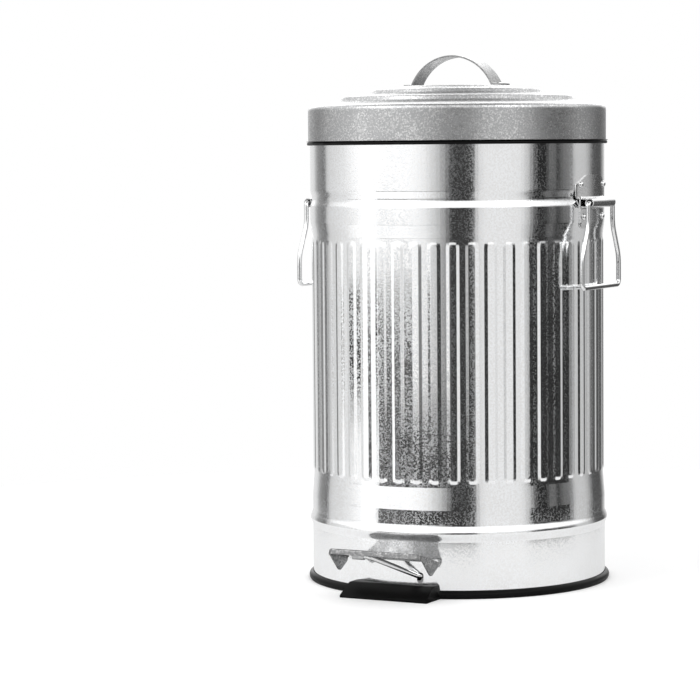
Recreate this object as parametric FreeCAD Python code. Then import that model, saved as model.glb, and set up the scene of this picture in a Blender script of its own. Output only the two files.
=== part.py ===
import FreeCAD, Part
import math
import os

# A round galvanised pedal bin with a lift-out inner bucket.
# Frame: millimetres, +Z up, origin on the floor on the can's axis.
# The pedal is at -Y, the lid's hinge at +Y, and a side handle at each end of X.

Vector = FreeCAD.Vector

# ---------------------------------------------------------------- driving dimensions
# Can wall, measured on its outside
body_radius = 146.0
body_height = 432.0            # upper edge of the sheet above the floor
body_sheet = 0.6

# Pressed forms of the wall
groove_drop = 51.0             # centre of the upper groove below the sheet's edge
groove_width = 13.0
groove_depth = 3.0
bead_rise_point = 62.0         # centre of the lower bead above the floor
bead_width = 15.0
bead_height = 2.3
flute_count = 48
flute_width = 12.5
flute_height = 2.3
flute_start = 109.0            # lower tip of the flutes above the floor
flute_drop = 92.0              # upper tip of the flutes below the sheet's edge
flute_lead = 3.0               # plain recessed band past each tip
upper_lead_in = 13.0           # cone from the recessed band back to full radius
lower_lead_in = 22.0
seam_width = 6.0
seam_height = 0.7
seam_bearing = 112.5           # degrees from +X, between two flutes

# Base
ring_height = 7.8
ring_wall = 4.2                # black ring outside the sheet, at its fullest
ring_roll = 6.6                # height of the rolled outer face
ring_lip = 0.6                 # upper edge beyond the sheet's groove
ring_floor = 2.5
ring_inner_wall = 1.7
ring_inner_height = 6.0
ring_foot_width = 3.2          # flange inside the inner wall
foot_width = 88.0              # wedge in front, under the pedal, at its top edge
foot_spread = 2.0              # further out on each side where it meets the floor
foot_height = 13.0
foot_reach = 26.0              # in front of the can wall, on the floor
foot_ledge = 9.5               # flat top in front of the can wall
foot_toe = 2.5                 # upright front edge
floor_plate_height = 47.0      # underside of the can's raised bottom
floor_plate_flange = 10.0
floor_bead_radius = 100.0
floor_bead_width = 12.0
floor_bead_height = 2.0

# Black collar on the can's edge, and gasket under the lid
collar_height = 3.0
collar_reach = 3.0             # beyond the can wall
collar_skirt = 8.0
collar_wall = 1.2
gasket_height = 3.0
gasket_reach = 3.7
gasket_width = 6.7
gasket_upstand = 5.5
gasket_wall = 1.7

# Lid
lid_reach = 1.7                # skirt beyond the can wall
lid_sheet = 0.6
lid_skirt_height = 32.0
lid_corner_radius = 4.5
lid_step_radii = (115.0, 84.0, 56.0)     # top edge of each step
lid_step_width = 4.0           # from the foot of a step to its top edge
lid_step_heights = (6.0, 5.2, 2.4)
lid_slopes = (3.0, 1.6, 1.3)   # gentle climb of the band before each step

# Strap handle on the lid
strap_width = 25.0
strap_sheet = 1.6
strap_height = 30.0            # crown above the lid
strap_span = 88.0              # outside of the legs at the lid
strap_length = 104.0           # over both feet

# Lid hinge
hinge_reach = 10.0             # pin behind the can wall
hinge_rise = 13.0              # pin above the sheet's edge
hinge_pin_radius = 2.0
hinge_sheet = 1.5
hinge_arm_width = 41.5         # over the lid's two ears
hinge_side_gap = 2.5
hinge_ear_radius = 5.5
hinge_plate_height = 34.0
hinge_plate_drop = 4.0         # top of the can's hinge plate below the sheet's edge
hinge_plate_width = 62.0
hinge_rivet_pitch = 34.0       # clear of both ears
guide_rivet_pitch = 14.0
lid_open_angle = 75.0

# Lift finger inside the lid, and the rod that pushes it
finger_arm = 20.0              # from the hinge pin to the finger's nose
finger_nose_radius = 2.0
finger_width = 18.0
finger_sheet = 1.2
rod_radius = 2.5
rod_inset = 8.5                # rod's axis inside the can wall
rod_tip_radius = 4.5
rod_tip_length = 12.0
push_gap = 0.6                 # under the nose with the lid shut

# Pedal lever: one bent wire on a pivot just inside the can wall
lever_radius = 2.5
lever_bend = 6.0
pivot_inset = 14.0             # pivot inside the can wall
pivot_height = 21.0
lever_arm = 78.0               # pivot to the tip that lifts the bar
lever_entry_x = 26.0           # where the wire passes the can wall
lever_entry_height = 21.5
lever_tip_radius = 5.0
lever_tip_gap = 0.3
ear_pitch = 13.0               # between the two pivot ears
ear_sheet = 1.5
slot_side_gap = 0.7            # each side of the wire
slot_top_gap = 0.75            # over the wire at rest
slot_travel = 5.2              # room for the wire as the pedal goes down, with both gaps

# Pedal plate
pedal_width = 98.0
pedal_depth = 42.0
pedal_sheet = 1.2
pedal_lip = 5.6
pedal_lip_bend = 2.0
pedal_corner = 4.5             # plan radius of the drawn front corners
pedal_flap_depth = 15.6
pedal_flap_tip = 6.5           # radius of each flap's tip
pedal_flap_place = 13.0        # tip of the flap in front of the plate's rear edge
pedal_rear_gap = 4.0           # rear edge in front of the can wall
pedal_rear_height = 37.2
pedal_wire_back = 28.5         # wire under the plate, in front of its rear edge
pedal_wire_length = 20.0
pedal_wire_offset = -31.0      # left end of the wire under the plate
clip_width = 12.0
clip_sheet = 1.0
clip_wing = 4.0

# Lift bar under the can's bottom
bar_width = 14.0
bar_sheet = 1.2
bar_leg = 5.0
bar_overlap = 10.0             # past the lever's tip
bar_tail = 4.5                 # past the rod

# Side handles
handle_drop = 57.4             # hinge axis of the bail below the sheet's edge
handle_standoff = 7.4          # hinge axis outside the can wall
knuckle_radius = 4.5
knuckle_length = 56.0
bracket_sheet = 1.2
knuckle_mouth = 7.0            # open sheet at each end, before the crimped middle
bracket_bend = 2.5             # where the sheet turns from plate to knuckle
bracket_plate_width = 72.0
bracket_plate_top = 27.0       # above the hinge axis
bracket_shoulder = 17.5
bracket_crown_width = 34.0
bracket_plate_low = 8.5
bracket_corner = 5.0
bracket_flange_width = 58.0
bracket_flange_drop = 24.6
upper_rivet_rise = 17.8
upper_rivet_pitch = 56.0
lower_rivet_drop = 13.4
lower_rivet_pitch = 46.0
bail_wire_radius = 2.15
bail_neck_width = 62.4         # between the leg centres at the knuckle
bail_foot_width = 94.0         # between the leg centres at the bottom
bail_neck_drop = 22.0
bail_spread_drop = 53.0
bail_drop = 81.5
bail_top_bend = 3.0            # just outside the knuckle
bail_bend = 6.0
bail_foot_bend = 5.5

# Rivets
rivet_radius = 1.6
rivet_head_radius = 3.2
rivet_head_height = 2.6
rivet_tail_radius = 2.5
rivet_tail_height = 1.0
flat_head_height = 0.9

# Inner bucket
bucket_gap = 0.3               # over the can's bottom
bucket_base_radius = 116.0
bucket_rim_inset = 15.0        # rim's edge inside the can wall
bucket_rim_width = 6.0
bucket_rim_drop = 15.0         # rim's top below the sheet's edge
bucket_rim_height = 3.0
bucket_lip = 9.0
bucket_wall = 2.0
bucket_ear_inset = 10.0        # ear inside the rim's inner edge
bucket_ear_width = 14.0
bucket_ear_height = 9.0
bucket_ear_sheet = 3.0
bucket_wire_radius = 2.0
bucket_wire_bend = 5.0
bucket_wire_seat = 0.5

# Clearances
seat_gap = 0.05                # between pieces that are fastened together
press_gap = 0.2                # bottom plate in the can, gasket in the lid
running_gap = 0.3              # moving parts that only pass each other
pin_gap = 0.08                 # pins, pivots and wires in their own bores
lid_gap = 0.3                  # gasket over collar, lid shut

# ---------------------------------------------------------------- derived sizes
body_inner = body_radius - body_sheet
recess_radius = body_radius - flute_height
flute_end = body_height - flute_drop
shell_bottom = ring_floor + lid_gap
handle_height = body_height - handle_drop
handle_axis = body_radius + handle_standoff
collar_top = body_height + seat_gap + collar_height
lid_radius = body_radius + lid_reach
lid_inner = lid_radius - lid_sheet
gasket_bottom = collar_top + lid_gap
gasket_top = gasket_bottom + gasket_height
lid_bottom = gasket_top + seat_gap
lid_shoulder = lid_bottom + lid_skirt_height
lid_top = lid_shoulder + sum(lid_step_heights) + sum(lid_slopes)
hinge_y = body_radius + hinge_reach
hinge_z = body_height + hinge_rise
half_open = math.radians(lid_open_angle / 2)
nose_y = hinge_y - finger_arm * math.cos(half_open)
nose_z = hinge_z - finger_arm * math.sin(half_open)
lift = 2 * finger_arm * math.sin(half_open)
rod_y = body_radius - rod_inset
rod_top = nose_z - finger_nose_radius - push_gap
pedal_half_angle = math.asin(lift / 2 / lever_arm)
pedal_angle = math.degrees(2 * pedal_half_angle)
pivot_y = -(body_radius - pivot_inset)
tip_y = pivot_y + lever_arm * math.cos(pedal_half_angle)
tip_z = pivot_height - lever_arm * math.sin(pedal_half_angle)
bar_underside = tip_z + lever_tip_radius + lever_tip_gap
slot_width = 2 * (lever_radius + slot_side_gap)
slot_height = 2 * lever_radius + slot_travel
slot_drop = slot_travel / 2 - slot_top_gap
bucket_rim_top = body_height - bucket_rim_drop
bucket_rim_radius = body_radius - bucket_rim_inset
floor_top = floor_plate_height + body_sheet + floor_bead_height


# ---------------------------------------------------------------- helpers
def placed(plane, point, offset):
    """A 2-D point of a named plane as a 3-D point, at an offset along the plane's normal."""
    a, b = point
    if plane == "xz":
        return Vector(a, offset, b)
    if plane == "yz":
        return Vector(offset, a, b)
    return Vector(a, b, offset)


def outline(plane, start, *steps, offset=0.0):
    """Closed face. A step is a point for a straight run, or (middle, end) for an arc."""
    edges = []
    here = placed(plane, start, offset)
    for step in steps + (start,):
        if isinstance(step[0], tuple):
            middle = placed(plane, step[0], offset)
            end = placed(plane, step[1], offset)
            edges.append(Part.Arc(here, middle, end).toShape())
        else:
            end = placed(plane, step, offset)
            if end.distanceToPoint(here) > 1e-6:
                edges.append(Part.makeLine(here, end))
        here = end
    return Part.Face(Part.Wire(edges))


def turned(start, *steps):
    """Solid of revolution about the can's axis from an outline of (radius, height) points."""
    return outline("xz", start, *steps).revolve(Vector(0, 0, 0), Vector(0, 0, 1), 360)


def ring(inner, outer, low, high):
    return turned((inner, low), (outer, low), (outer, high), (inner, high))


def block(low, high):
    """Box between two corners."""
    size = Vector(*high) - Vector(*low)
    return Part.makeBox(size.x, size.y, size.z, Vector(*low))


def rod_along(axis, radius, start, length):
    return Part.makeCylinder(radius, length, Vector(*start), axis)


def swung(shape, degrees):
    """A copy turned about the can's axis."""
    copy = shape.copy()
    copy.rotate(Vector(0, 0, 0), Vector(0, 0, 1), degrees)
    return copy


def mirrored(shape):
    """The same piece on the other side of the can."""
    return shape.mirror(Vector(0, 0, 0), Vector(1, 0, 0))


def bent_wire(points, bends, radius):
    """Round wire along straight runs joined by tangent arcs, one bend radius to each corner."""
    corners = [Vector(*p) for p in points]
    edges = []
    here = corners[0]
    for before, corner, after, bend in zip(corners, corners[1:], corners[2:], bends):
        incoming = (corner - before).normalize()
        outgoing = (after - corner).normalize()
        turn = incoming.getAngle(outgoing)
        reach = bend * math.tan(turn / 2)
        depth = bend / math.cos(turn / 2) - bend
        start = corner - incoming * reach
        end = corner + outgoing * reach
        middle = corner + (outgoing - incoming).normalize() * depth
        edges.append(Part.makeLine(here, start))
        edges.append(Part.Arc(start, middle, end).toShape())
        here = end
    edges.append(Part.makeLine(here, corners[-1]))
    return swept(edges, radius)


def swept(edges, radius):
    """Round wire along a chain of edges."""
    path = Part.Wire(edges)
    first = edges[0]
    start = first.Vertexes[0].Point
    direction = first.tangentAt(first.FirstParameter)
    section = Part.Wire(Part.makeCircle(radius, start, direction))
    return path.makePipeShell([section], True, False)


def dome(seat, radius, height):
    """Middle and tip of a spherical cap's arc; a negative height faces the other way."""
    ball = (radius ** 2 + height ** 2) / (2 * abs(height))
    side = math.copysign(1, height)
    centre = seat + height - side * ball
    half_angle = math.asin(radius / ball) / 2
    middle = (centre + side * ball * math.cos(half_angle), ball * math.sin(half_angle))
    return (middle, (seat + height, 0))


def rivet(grip, head_height=rivet_head_height):
    """Rivet along +X: seat of the head at the origin, tail on the far side of the grip."""
    tail = -grip - 2 * seat_gap
    face = outline(
        "xz",
        (tail - rivet_tail_height, 0),
        (tail - rivet_tail_height, rivet_tail_radius),
        (tail, rivet_tail_radius),
        (tail, rivet_radius),
        (seat_gap, rivet_radius),
        (seat_gap, rivet_head_radius),
        dome(seat_gap, rivet_head_radius, head_height),
    )
    return face.revolve(Vector(0, 0, 0), Vector(1, 0, 0), 360)


def rivet_hole():
    """Hole for a rivet along +X, long enough for any grip."""
    return rod_along(Vector(1, 0, 0), rivet_radius + seat_gap, (-15, 0, 0), 30)


def on_wall(shape, seat_radius, bearing, height):
    """Moves a shape made at the origin along +X to a place on the can's side."""
    copy = shape.copy()
    copy.translate(Vector(seat_radius, 0, height))
    return swung(copy, bearing)


def bearing_of(offset, radius, centre=0.0):
    """Bearing of a point that stands off to the side of a bearing by a distance."""
    return centre + math.degrees(math.asin(offset / radius))


def wall_steps(shift):
    """Points of the can wall from bottom to top, moved outwards by a shift."""
    radius = body_radius + shift
    recess = recess_radius + shift
    bead_low = bead_rise_point - bead_width / 2
    bead_high = bead_rise_point + bead_width / 2
    groove = body_height - groove_drop
    return [
        (radius, bead_low),
        ((radius + bead_height, bead_rise_point), (radius, bead_high)),
        (radius, flute_start - flute_lead - lower_lead_in),
        (recess, flute_start - flute_lead),
        (recess, flute_end + flute_lead),
        (radius, flute_end + flute_lead + upper_lead_in),
        (radius, groove - groove_width / 2),
        ((radius - groove_depth, groove), (radius, groove + groove_width / 2)),
    ]


def wall_body(shift, low, high):
    """Solid can whose side is the wall's outline moved outwards by a shift."""
    return turned((0, low), (body_radius + shift, low), *wall_steps(shift),
                  (body_radius + shift, high), (0, high))


def flute(shift):
    """Capsule whose side stands out of the recessed band as one flute."""
    ball = ((flute_width / 2) ** 2 + flute_height ** 2) / (2 * flute_height)
    tip = flute_width / 2
    low = flute_start + tip
    high = flute_end - tip
    radius = ball + shift
    face = outline(
        "xz",
        (0, low - radius),
        ((radius * math.sqrt(0.5), low - radius * math.sqrt(0.5)), (radius, low)),
        (radius, high),
        ((radius * math.sqrt(0.5), high + radius * math.sqrt(0.5)), (0, high + radius)),
    )
    capsule = face.revolve(Vector(0, 0, 0), Vector(0, 0, 1), 360)
    capsule.translate(Vector(body_radius - ball, 0, 0))
    return capsule


# ---------------------------------------------------------------- can
def handle_rivet_places():
    """(offset to the side, height) of the four rivets of one side handle."""
    places = []
    for side in (-1, 1):
        places.append((side * upper_rivet_pitch / 2, handle_height + upper_rivet_rise))
        places.append((side * lower_rivet_pitch / 2, handle_height - lower_rivet_drop))
    return places


hinge_rivet_places = [
    (side * hinge_rivet_pitch / 2, body_height - hinge_plate_drop - drop)
    for side in (-1, 1) for drop in (7.0, 27.0)
]
guide_rivet_places = [(side * guide_rivet_pitch / 2, body_height - hinge_plate_drop - 27.0)
                      for side in (-1, 1)]


def make_body_shell():
    outside = wall_body(0, shell_bottom, body_height)
    seam_face = outline("xz", (body_radius - 10, ring_height + 2),
                        (body_radius + seam_height, ring_height + 2), *wall_steps(seam_height),
                        (body_radius + seam_height, body_height - 1),
                        (body_radius - 10, body_height - 1))
    seam_angle = math.degrees(seam_width / body_radius)
    seam = swung(seam_face.revolve(Vector(0, 0, 0), Vector(0, 0, 1), seam_angle),
                 seam_bearing - seam_angle / 2)
    pitch = 360.0 / flute_count
    outer_flute, inner_flute = flute(0), flute(-body_sheet)
    bearings = [(i + 0.5) * pitch for i in range(flute_count)]
    outside = outside.fuse([seam] + [swung(outer_flute, b) for b in bearings])
    inside = wall_body(-body_sheet, shell_bottom - 1, body_height + 1)
    inside = inside.fuse([swung(inner_flute, b) for b in bearings])
    shell = outside.cut(inside)
    holes = []
    for centre in (0, 180):
        for offset, height in handle_rivet_places():
            holes.append(on_wall(rivet_hole(), body_radius, bearing_of(offset, body_radius, centre), height))
    for offset, height in hinge_rivet_places + guide_rivet_places:
        holes.append(on_wall(rivet_hole(), body_radius, bearing_of(offset, body_radius, 90), height))
    holes.append(lever_slot())
    return shell.cut(holes)


def lever_slot():
    """Upright slot with round ends through the front of the can, for the lever's wire."""
    centre = lever_entry_height - slot_drop
    radius = slot_width / 2
    straight = (slot_height - slot_width) / 2
    low, high = centre - straight, centre + straight
    face = outline(
        "xz",
        (lever_entry_x - radius, low),
        ((lever_entry_x, low - radius), (lever_entry_x + radius, low)),
        (lever_entry_x + radius, high),
        ((lever_entry_x, high + radius), (lever_entry_x - radius, high)),
        offset=-body_radius - 10,
    )
    return face.extrude(Vector(0, 30, 0))


def make_base_ring():
    """Black ring gripping the can's lower edge, with the wedge-shaped foot in front."""
    outer = body_radius + ring_wall
    slot_out = body_radius + running_gap
    slot_in = body_inner - running_gap
    inner = slot_in - ring_inner_wall
    roll = 1.5
    channel = turned(
        (inner - ring_foot_width, 0), (outer - roll, 0),
        ((outer, ring_roll / 2), (outer - roll, ring_roll)),
        (slot_out + ring_lip, ring_height), (slot_out, ring_height), (slot_out, ring_floor),
        (slot_in, ring_floor), (slot_in, ring_inner_height), (inner, ring_inner_height),
        (inner, ring_floor), (inner - ring_foot_width, ring_floor),
    )
    back = -body_radius * 0.9
    front = -body_radius - foot_reach
    ledge = -body_radius - foot_ledge
    top_half = foot_width / 2
    low_half = top_half + foot_spread

    def level(half_back, half_front, nose, height):
        return outline("xy", (-half_back, back), (-half_front, nose), (half_front, nose),
                       (half_back, back), offset=height).OuterWire

    toe = Part.Face(level(low_half, low_half, front, 0)).extrude(Vector(0, 0, foot_toe))
    wedge = Part.makeLoft([level(low_half, low_half, front, foot_toe),
                           level(top_half, top_half, ledge, foot_height)], True, True)
    can = rod_along(Vector(0, 0, 1), slot_out, (0, 0, -1), foot_height + 2)
    foot = toe.fuse(wedge).cut(can)
    return channel.fuse(foot)


def make_floor_plate():
    """Raised bottom of the can: a dished plate with a turned-down flange."""
    top = floor_plate_height + body_sheet
    rim = body_inner - press_gap
    low = floor_plate_height - floor_plate_flange
    bead_in = floor_bead_radius - floor_bead_width / 2
    bead_out = floor_bead_radius + floor_bead_width / 2
    plate = turned(
        (0, floor_plate_height), (bead_in, floor_plate_height),
        ((floor_bead_radius, floor_plate_height + floor_bead_height),
         (bead_out, floor_plate_height)),
        (rim - body_sheet - 2, floor_plate_height),
        ((rim - body_sheet - 0.6, floor_plate_height - 0.6), (rim - body_sheet, floor_plate_height - 2)),
        (rim - body_sheet, low), (rim, low), (rim, top - 2.4),
        ((rim - 0.7, top - 0.7), (rim - 2.4, top)),
        (bead_out, top), ((floor_bead_radius, top + floor_bead_height), (bead_in, top)), (0, top),
    )
    rod_hole = rod_along(Vector(0, 0, 1), rod_radius + running_gap, (0, rod_y, low - 1), 20)
    rivets = [rod_along(Vector(0, 0, 1), rivet_radius + seat_gap, (x, y, floor_plate_height - 5), 10)
              for x, y in lever_rivet_places()]
    return plate.cut([rod_hole] + rivets)


def make_top_collar():
    """Black collar clipped over the can's upper edge."""
    outer = body_radius + collar_reach
    inner = body_inner - seat_gap - collar_wall
    edge = body_height + seat_gap
    bevel = 0.8
    return turned(
        (inner, edge - collar_skirt), (inner + collar_wall, edge - collar_skirt),
        (inner + collar_wall, edge), (outer - bevel, edge), (outer, edge + bevel),
        (outer, collar_top - bevel), (outer - bevel, collar_top), (inner, collar_top),
    )


# ---------------------------------------------------------------- side handles
def make_handle_bracket():
    """Bracket of the right-hand handle: shouldered plate, knuckle for the bail, lower flange."""
    inner = body_radius + seat_gap
    outer = inner + bracket_sheet
    z = handle_height
    low = z - bracket_flange_drop
    lead_top = flute_end + flute_lead + upper_lead_in
    lead_low = flute_end + flute_lead
    slope = flute_height / (lead_top - lead_low)
    drop = max(0.0, lead_top - low) * slope
    sheet = turned(
        (inner - drop, low), (outer - drop, low), (outer, lead_top),
        (outer, z + bracket_plate_top), (inner, z + bracket_plate_top), (inner, lead_top),
    ) if drop > 0 else ring(inner, outer, low, z + bracket_plate_top)
    half, crown = bracket_plate_width / 2, bracket_crown_width / 2
    flange = bracket_flange_width / 2
    plate_low = z + bracket_plate_low
    corner = bracket_corner
    bite = corner * (1 - math.sqrt(0.5))
    shape = outline(
        "yz",
        (-half, plate_low), (-half, z + bracket_shoulder), (-crown, z + bracket_plate_top),
        (crown, z + bracket_plate_top), (half, z + bracket_shoulder), (half, plate_low),
        ((half - bite, plate_low - corner + bite), (half - corner, plate_low - corner)),
        (flange, plate_low - corner), (flange, low + corner),
        ((flange - bite, low + bite), (flange - corner, low)),
        (-flange + corner, low),
        ((-flange + bite, low + bite), (-flange, low + corner)),
        (-flange, plate_low - corner), (-half + corner, plate_low - corner),
        ((-half + bite, plate_low - corner + bite), (-half, plate_low)),
        offset=body_radius * 0.8,
    )
    sheet = sheet.common(shape.extrude(Vector(body_radius * 0.4, 0, 0)))
    reach = knuckle_length / 2
    knuckle = rod_along(Vector(0, 1, 0), knuckle_radius, (handle_axis, -reach, z), knuckle_length)
    shelves = [block((body_radius * 0.9, -reach, z + knuckle_radius - bracket_sheet),
                     (handle_axis, reach, z + knuckle_radius)),
               block((body_radius * 0.9, -reach, z - knuckle_radius),
                     (handle_axis, reach, z - knuckle_radius + bracket_sheet))]
    top, bottom = z + knuckle_radius, z - knuckle_radius
    bend = bracket_bend
    bite = bend * (1 - math.sqrt(0.5))
    roots = [turned((inner, top - 0.5), (outer + bend, top - 0.5), (outer + bend, top),
                    ((outer + bite, top + bite), (outer, top + bend)), (inner, top + bend)),
             turned((inner, bottom - bend), (outer, bottom - bend),
                    ((outer + bite, bottom - bite), (outer + bend, bottom)),
                    (outer + bend, bottom + 0.5), (inner, bottom + 0.5))]
    across = block((body_radius * 0.5, -reach, z - 20), (handle_axis, reach, z + 20))
    bore = rod_along(Vector(0, 1, 0), bail_wire_radius + pin_gap,
                     (handle_axis, -reach - 1, z), knuckle_length + 2)
    mouths = [rod_along(Vector(0, 1, 0), knuckle_radius - bracket_sheet,
                        (handle_axis, start, z), knuckle_mouth + 1)
              for start in (-reach - 1, reach - knuckle_mouth)]
    can = rod_along(Vector(0, 0, 1), inner, (0, 0, z - 20), 40)
    folded = knuckle.fuse(shelves + [root.common(across) for root in roots])
    folded = folded.cut([bore, can] + mouths)
    holes = [on_wall(rivet_hole(), inner, bearing_of(offset, inner), height)
             for offset, height in handle_rivet_places()]
    return sheet.fuse(folded).cut(holes)


def make_handle_rivets():
    grip = body_sheet + seat_gap + bracket_sheet
    seat = body_radius + seat_gap + bracket_sheet
    return [on_wall(rivet(grip), seat, bearing_of(offset, body_radius + seat_gap), height)
            for offset, height in handle_rivet_places()]


def make_bail():
    """Bottle-shaped wire loop hanging from the knuckle; its two ends meet inside the knuckle."""
    neck, foot = bail_neck_width / 2, bail_foot_width / 2
    z = handle_height
    end_gap = 0.4
    x = handle_axis
    points = [
        (x, end_gap, z), (x, neck, z), (x, neck, z - bail_neck_drop),
        (x, foot, z - bail_spread_drop), (x, foot, z - bail_drop),
        (x, -foot, z - bail_drop), (x, -foot, z - bail_spread_drop),
        (x, -neck, z - bail_neck_drop), (x, -neck, z), (x, -end_gap, z),
    ]
    half = [bail_top_bend, bail_bend, bail_bend, bail_foot_bend]
    return bent_wire(points, half + half[::-1], bail_wire_radius)


# ---------------------------------------------------------------- lid
def lid_steps(shift):
    """Points of the lid's top from the shoulder to its centre, moved down by a shift."""
    points = []
    height = lid_shoulder - shift
    for radius, rise, climb in zip(lid_step_radii, lid_step_heights, lid_slopes):
        foot = radius + lid_step_width
        height += climb
        points.append((foot, height))
        points.append(((radius + lid_step_width * 0.62, height + rise * 0.30),
                       (radius + lid_step_width * 0.35, height + rise * 0.62)))
        height += rise
        points.append((radius, height))
    points.append((0, height))
    return points


def make_lid_shell():
    bend = lid_corner_radius
    inner_bend = bend - lid_sheet
    bite = bend * (1 - math.sqrt(0.5))
    inner_bite = inner_bend * (1 - math.sqrt(0.5))
    inside = lid_steps(lid_sheet)
    inside_back = []
    # the same steps walked from the centre back out to the skirt
    inside_back.append(inside[-1])
    for foot, curve, top in reversed(list(zip(inside[0:-1:3], inside[1:-1:3], inside[2:-1:3]))):
        inside_back.append(top)
        inside_back.append(curve[1])
        inside_back.append((curve[0], foot))
    return turned(
        (lid_inner, lid_bottom), (lid_radius, lid_bottom), (lid_radius, lid_shoulder - bend),
        ((lid_radius - bite, lid_shoulder - bite), (lid_radius - bend, lid_shoulder)),
        *lid_steps(0),
        *inside_back,
        (lid_radius - bend, lid_shoulder - lid_sheet),
        ((lid_inner - inner_bite, lid_shoulder - lid_sheet - inner_bite),
         (lid_inner, lid_shoulder - bend)),
    ).cut(lid_holes())


def lid_hinge_rivet_places():
    """(offset, height) of the rivets through the hinge arm, the skirt and the lift finger."""
    return [(side * 6.0, lid_bottom + 14.0) for side in (-1, 1)]


def strap_rivet_places():
    return [side * (strap_span / 2 + 4.0) for side in (-1, 1)]


def lid_holes():
    holes = [on_wall(rivet_hole(), lid_radius, bearing_of(offset, lid_radius, 90), height)
             for offset, height in lid_hinge_rivet_places()]
    holes += [rod_along(Vector(0, 0, 1), rivet_radius + seat_gap, (x, 0, lid_top - 5), 10)
              for x in strap_rivet_places()]
    return holes


def make_lid_gasket():
    """Black ring under the lid, with an upstand inside the skirt."""
    outer = body_radius + gasket_reach
    up_outer = lid_inner - press_gap
    bevel = 0.8
    return turned(
        (outer - gasket_width, gasket_bottom), (outer - bevel, gasket_bottom),
        (outer, gasket_bottom + bevel), (outer, gasket_top - bevel), (outer - bevel, gasket_top),
        (up_outer, gasket_top), (up_outer, gasket_top + gasket_upstand),
        (up_outer - gasket_wall, gasket_top + gasket_upstand), (up_outer - gasket_wall, gasket_top),
        (outer - gasket_width, gasket_top),
    )


def make_lid_handle():
    """Strap bent to an arch along X, with a flat foot at each end."""
    low = lid_top + seat_gap
    half_span = strap_span / 2
    rise = strap_height - strap_sheet
    radius = (half_span ** 2 + rise ** 2) / (2 * rise)
    centre = low + strap_height - radius
    inner = radius - strap_sheet
    inner_half = math.sqrt(inner ** 2 - (low - centre) ** 2)
    foot = strap_length / 2
    face = outline(
        "xz",
        (-inner_half, low), ((0, centre + inner), (inner_half, low)), (foot, low),
        (foot, low + strap_sheet), (half_span, low + strap_sheet),
        ((0, centre + radius), (-half_span, low + strap_sheet)),
        (-foot, low + strap_sheet), (-foot, low),
        offset=-strap_width / 2,
    )
    strap = face.extrude(Vector(0, strap_width, 0))
    holes = [rod_along(Vector(0, 0, 1), rivet_radius + seat_gap, (x, 0, low - 2), 8)
             for x in strap_rivet_places()]
    return strap.cut(holes)


def make_strap_rivets():
    grip = lid_sheet + seat_gap + strap_sheet
    seat = lid_top + seat_gap + strap_sheet
    rivets = []
    for x in strap_rivet_places():
        piece = rivet(grip, flat_head_height)
        piece.rotate(Vector(0, 0, 0), Vector(0, 1, 0), -90)
        piece.translate(Vector(x, 0, seat))
        rivets.append(piece)
    return rivets


# ---------------------------------------------------------------- lid hinge
def ear(outline_points, x, sheet):
    """Hinge ear: a plate across X with a round boss about the pin."""
    plate = outline("yz", *outline_points, offset=x).extrude(Vector(sheet, 0, 0))
    boss = rod_along(Vector(1, 0, 0), hinge_ear_radius, (x, hinge_y, hinge_z), sheet)
    return plate.fuse(boss)


def pin_hole(extra):
    half = hinge_arm_width
    return rod_along(Vector(1, 0, 0), hinge_pin_radius + extra, (-half, hinge_y, hinge_z), 2 * half)


def make_hinge_bracket():
    """Plate riveted to the back of the can, with an ear each side of the lid's arm."""
    inner = body_radius + seat_gap
    outer = inner + hinge_sheet
    top = body_height - hinge_plate_drop
    low = top - hinge_plate_height
    half = hinge_plate_width / 2
    plate = ring(inner, outer, low, top).common(
        block((-half, body_radius * 0.8, low - 1), (half, body_radius + 10, top + 1)))
    x = hinge_arm_width / 2 + hinge_side_gap
    root = math.sqrt(inner ** 2 - (x + hinge_sheet) ** 2) + 0.3
    front = hinge_y - hinge_ear_radius
    tail = hinge_y + hinge_ear_radius
    sweep = (root + hinge_sheet + 2, low + 3)
    belly = ((tail * 0.62 + sweep[0] * 0.38) - 2.4, (hinge_z + sweep[1]) / 2 + 2.0)
    profile = ((root, low + 3), (root, top - 2), (front, top + 2), (front, hinge_z),
               (tail, hinge_z), (belly, sweep))
    ears = [ear(profile, x, hinge_sheet), ear(profile, -x - hinge_sheet, hinge_sheet)]
    holes = [on_wall(rivet_hole(), inner, bearing_of(offset, inner, 90), height)
             for offset, height in hinge_rivet_places + guide_rivet_places]
    return plate.fuse(ears).cut(holes + [pin_hole(pin_gap)])


def make_hinge_pin():
    """Pin with a domed head at each end, held in the can's two ears."""
    half = hinge_arm_width / 2 + hinge_side_gap + hinge_sheet + running_gap
    head = hinge_pin_radius + 1.4
    middle, tip = dome(-half, head, -1.6)
    face = outline(
        "xz",
        tip, (middle, (-half, head)), (-half, hinge_pin_radius), (half, hinge_pin_radius),
        (half, head), dome(half, head, 1.6),
    )
    pin = face.revolve(Vector(0, 0, 0), Vector(1, 0, 0), 360)
    pin.translate(Vector(0, hinge_y, hinge_z))
    return pin


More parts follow.
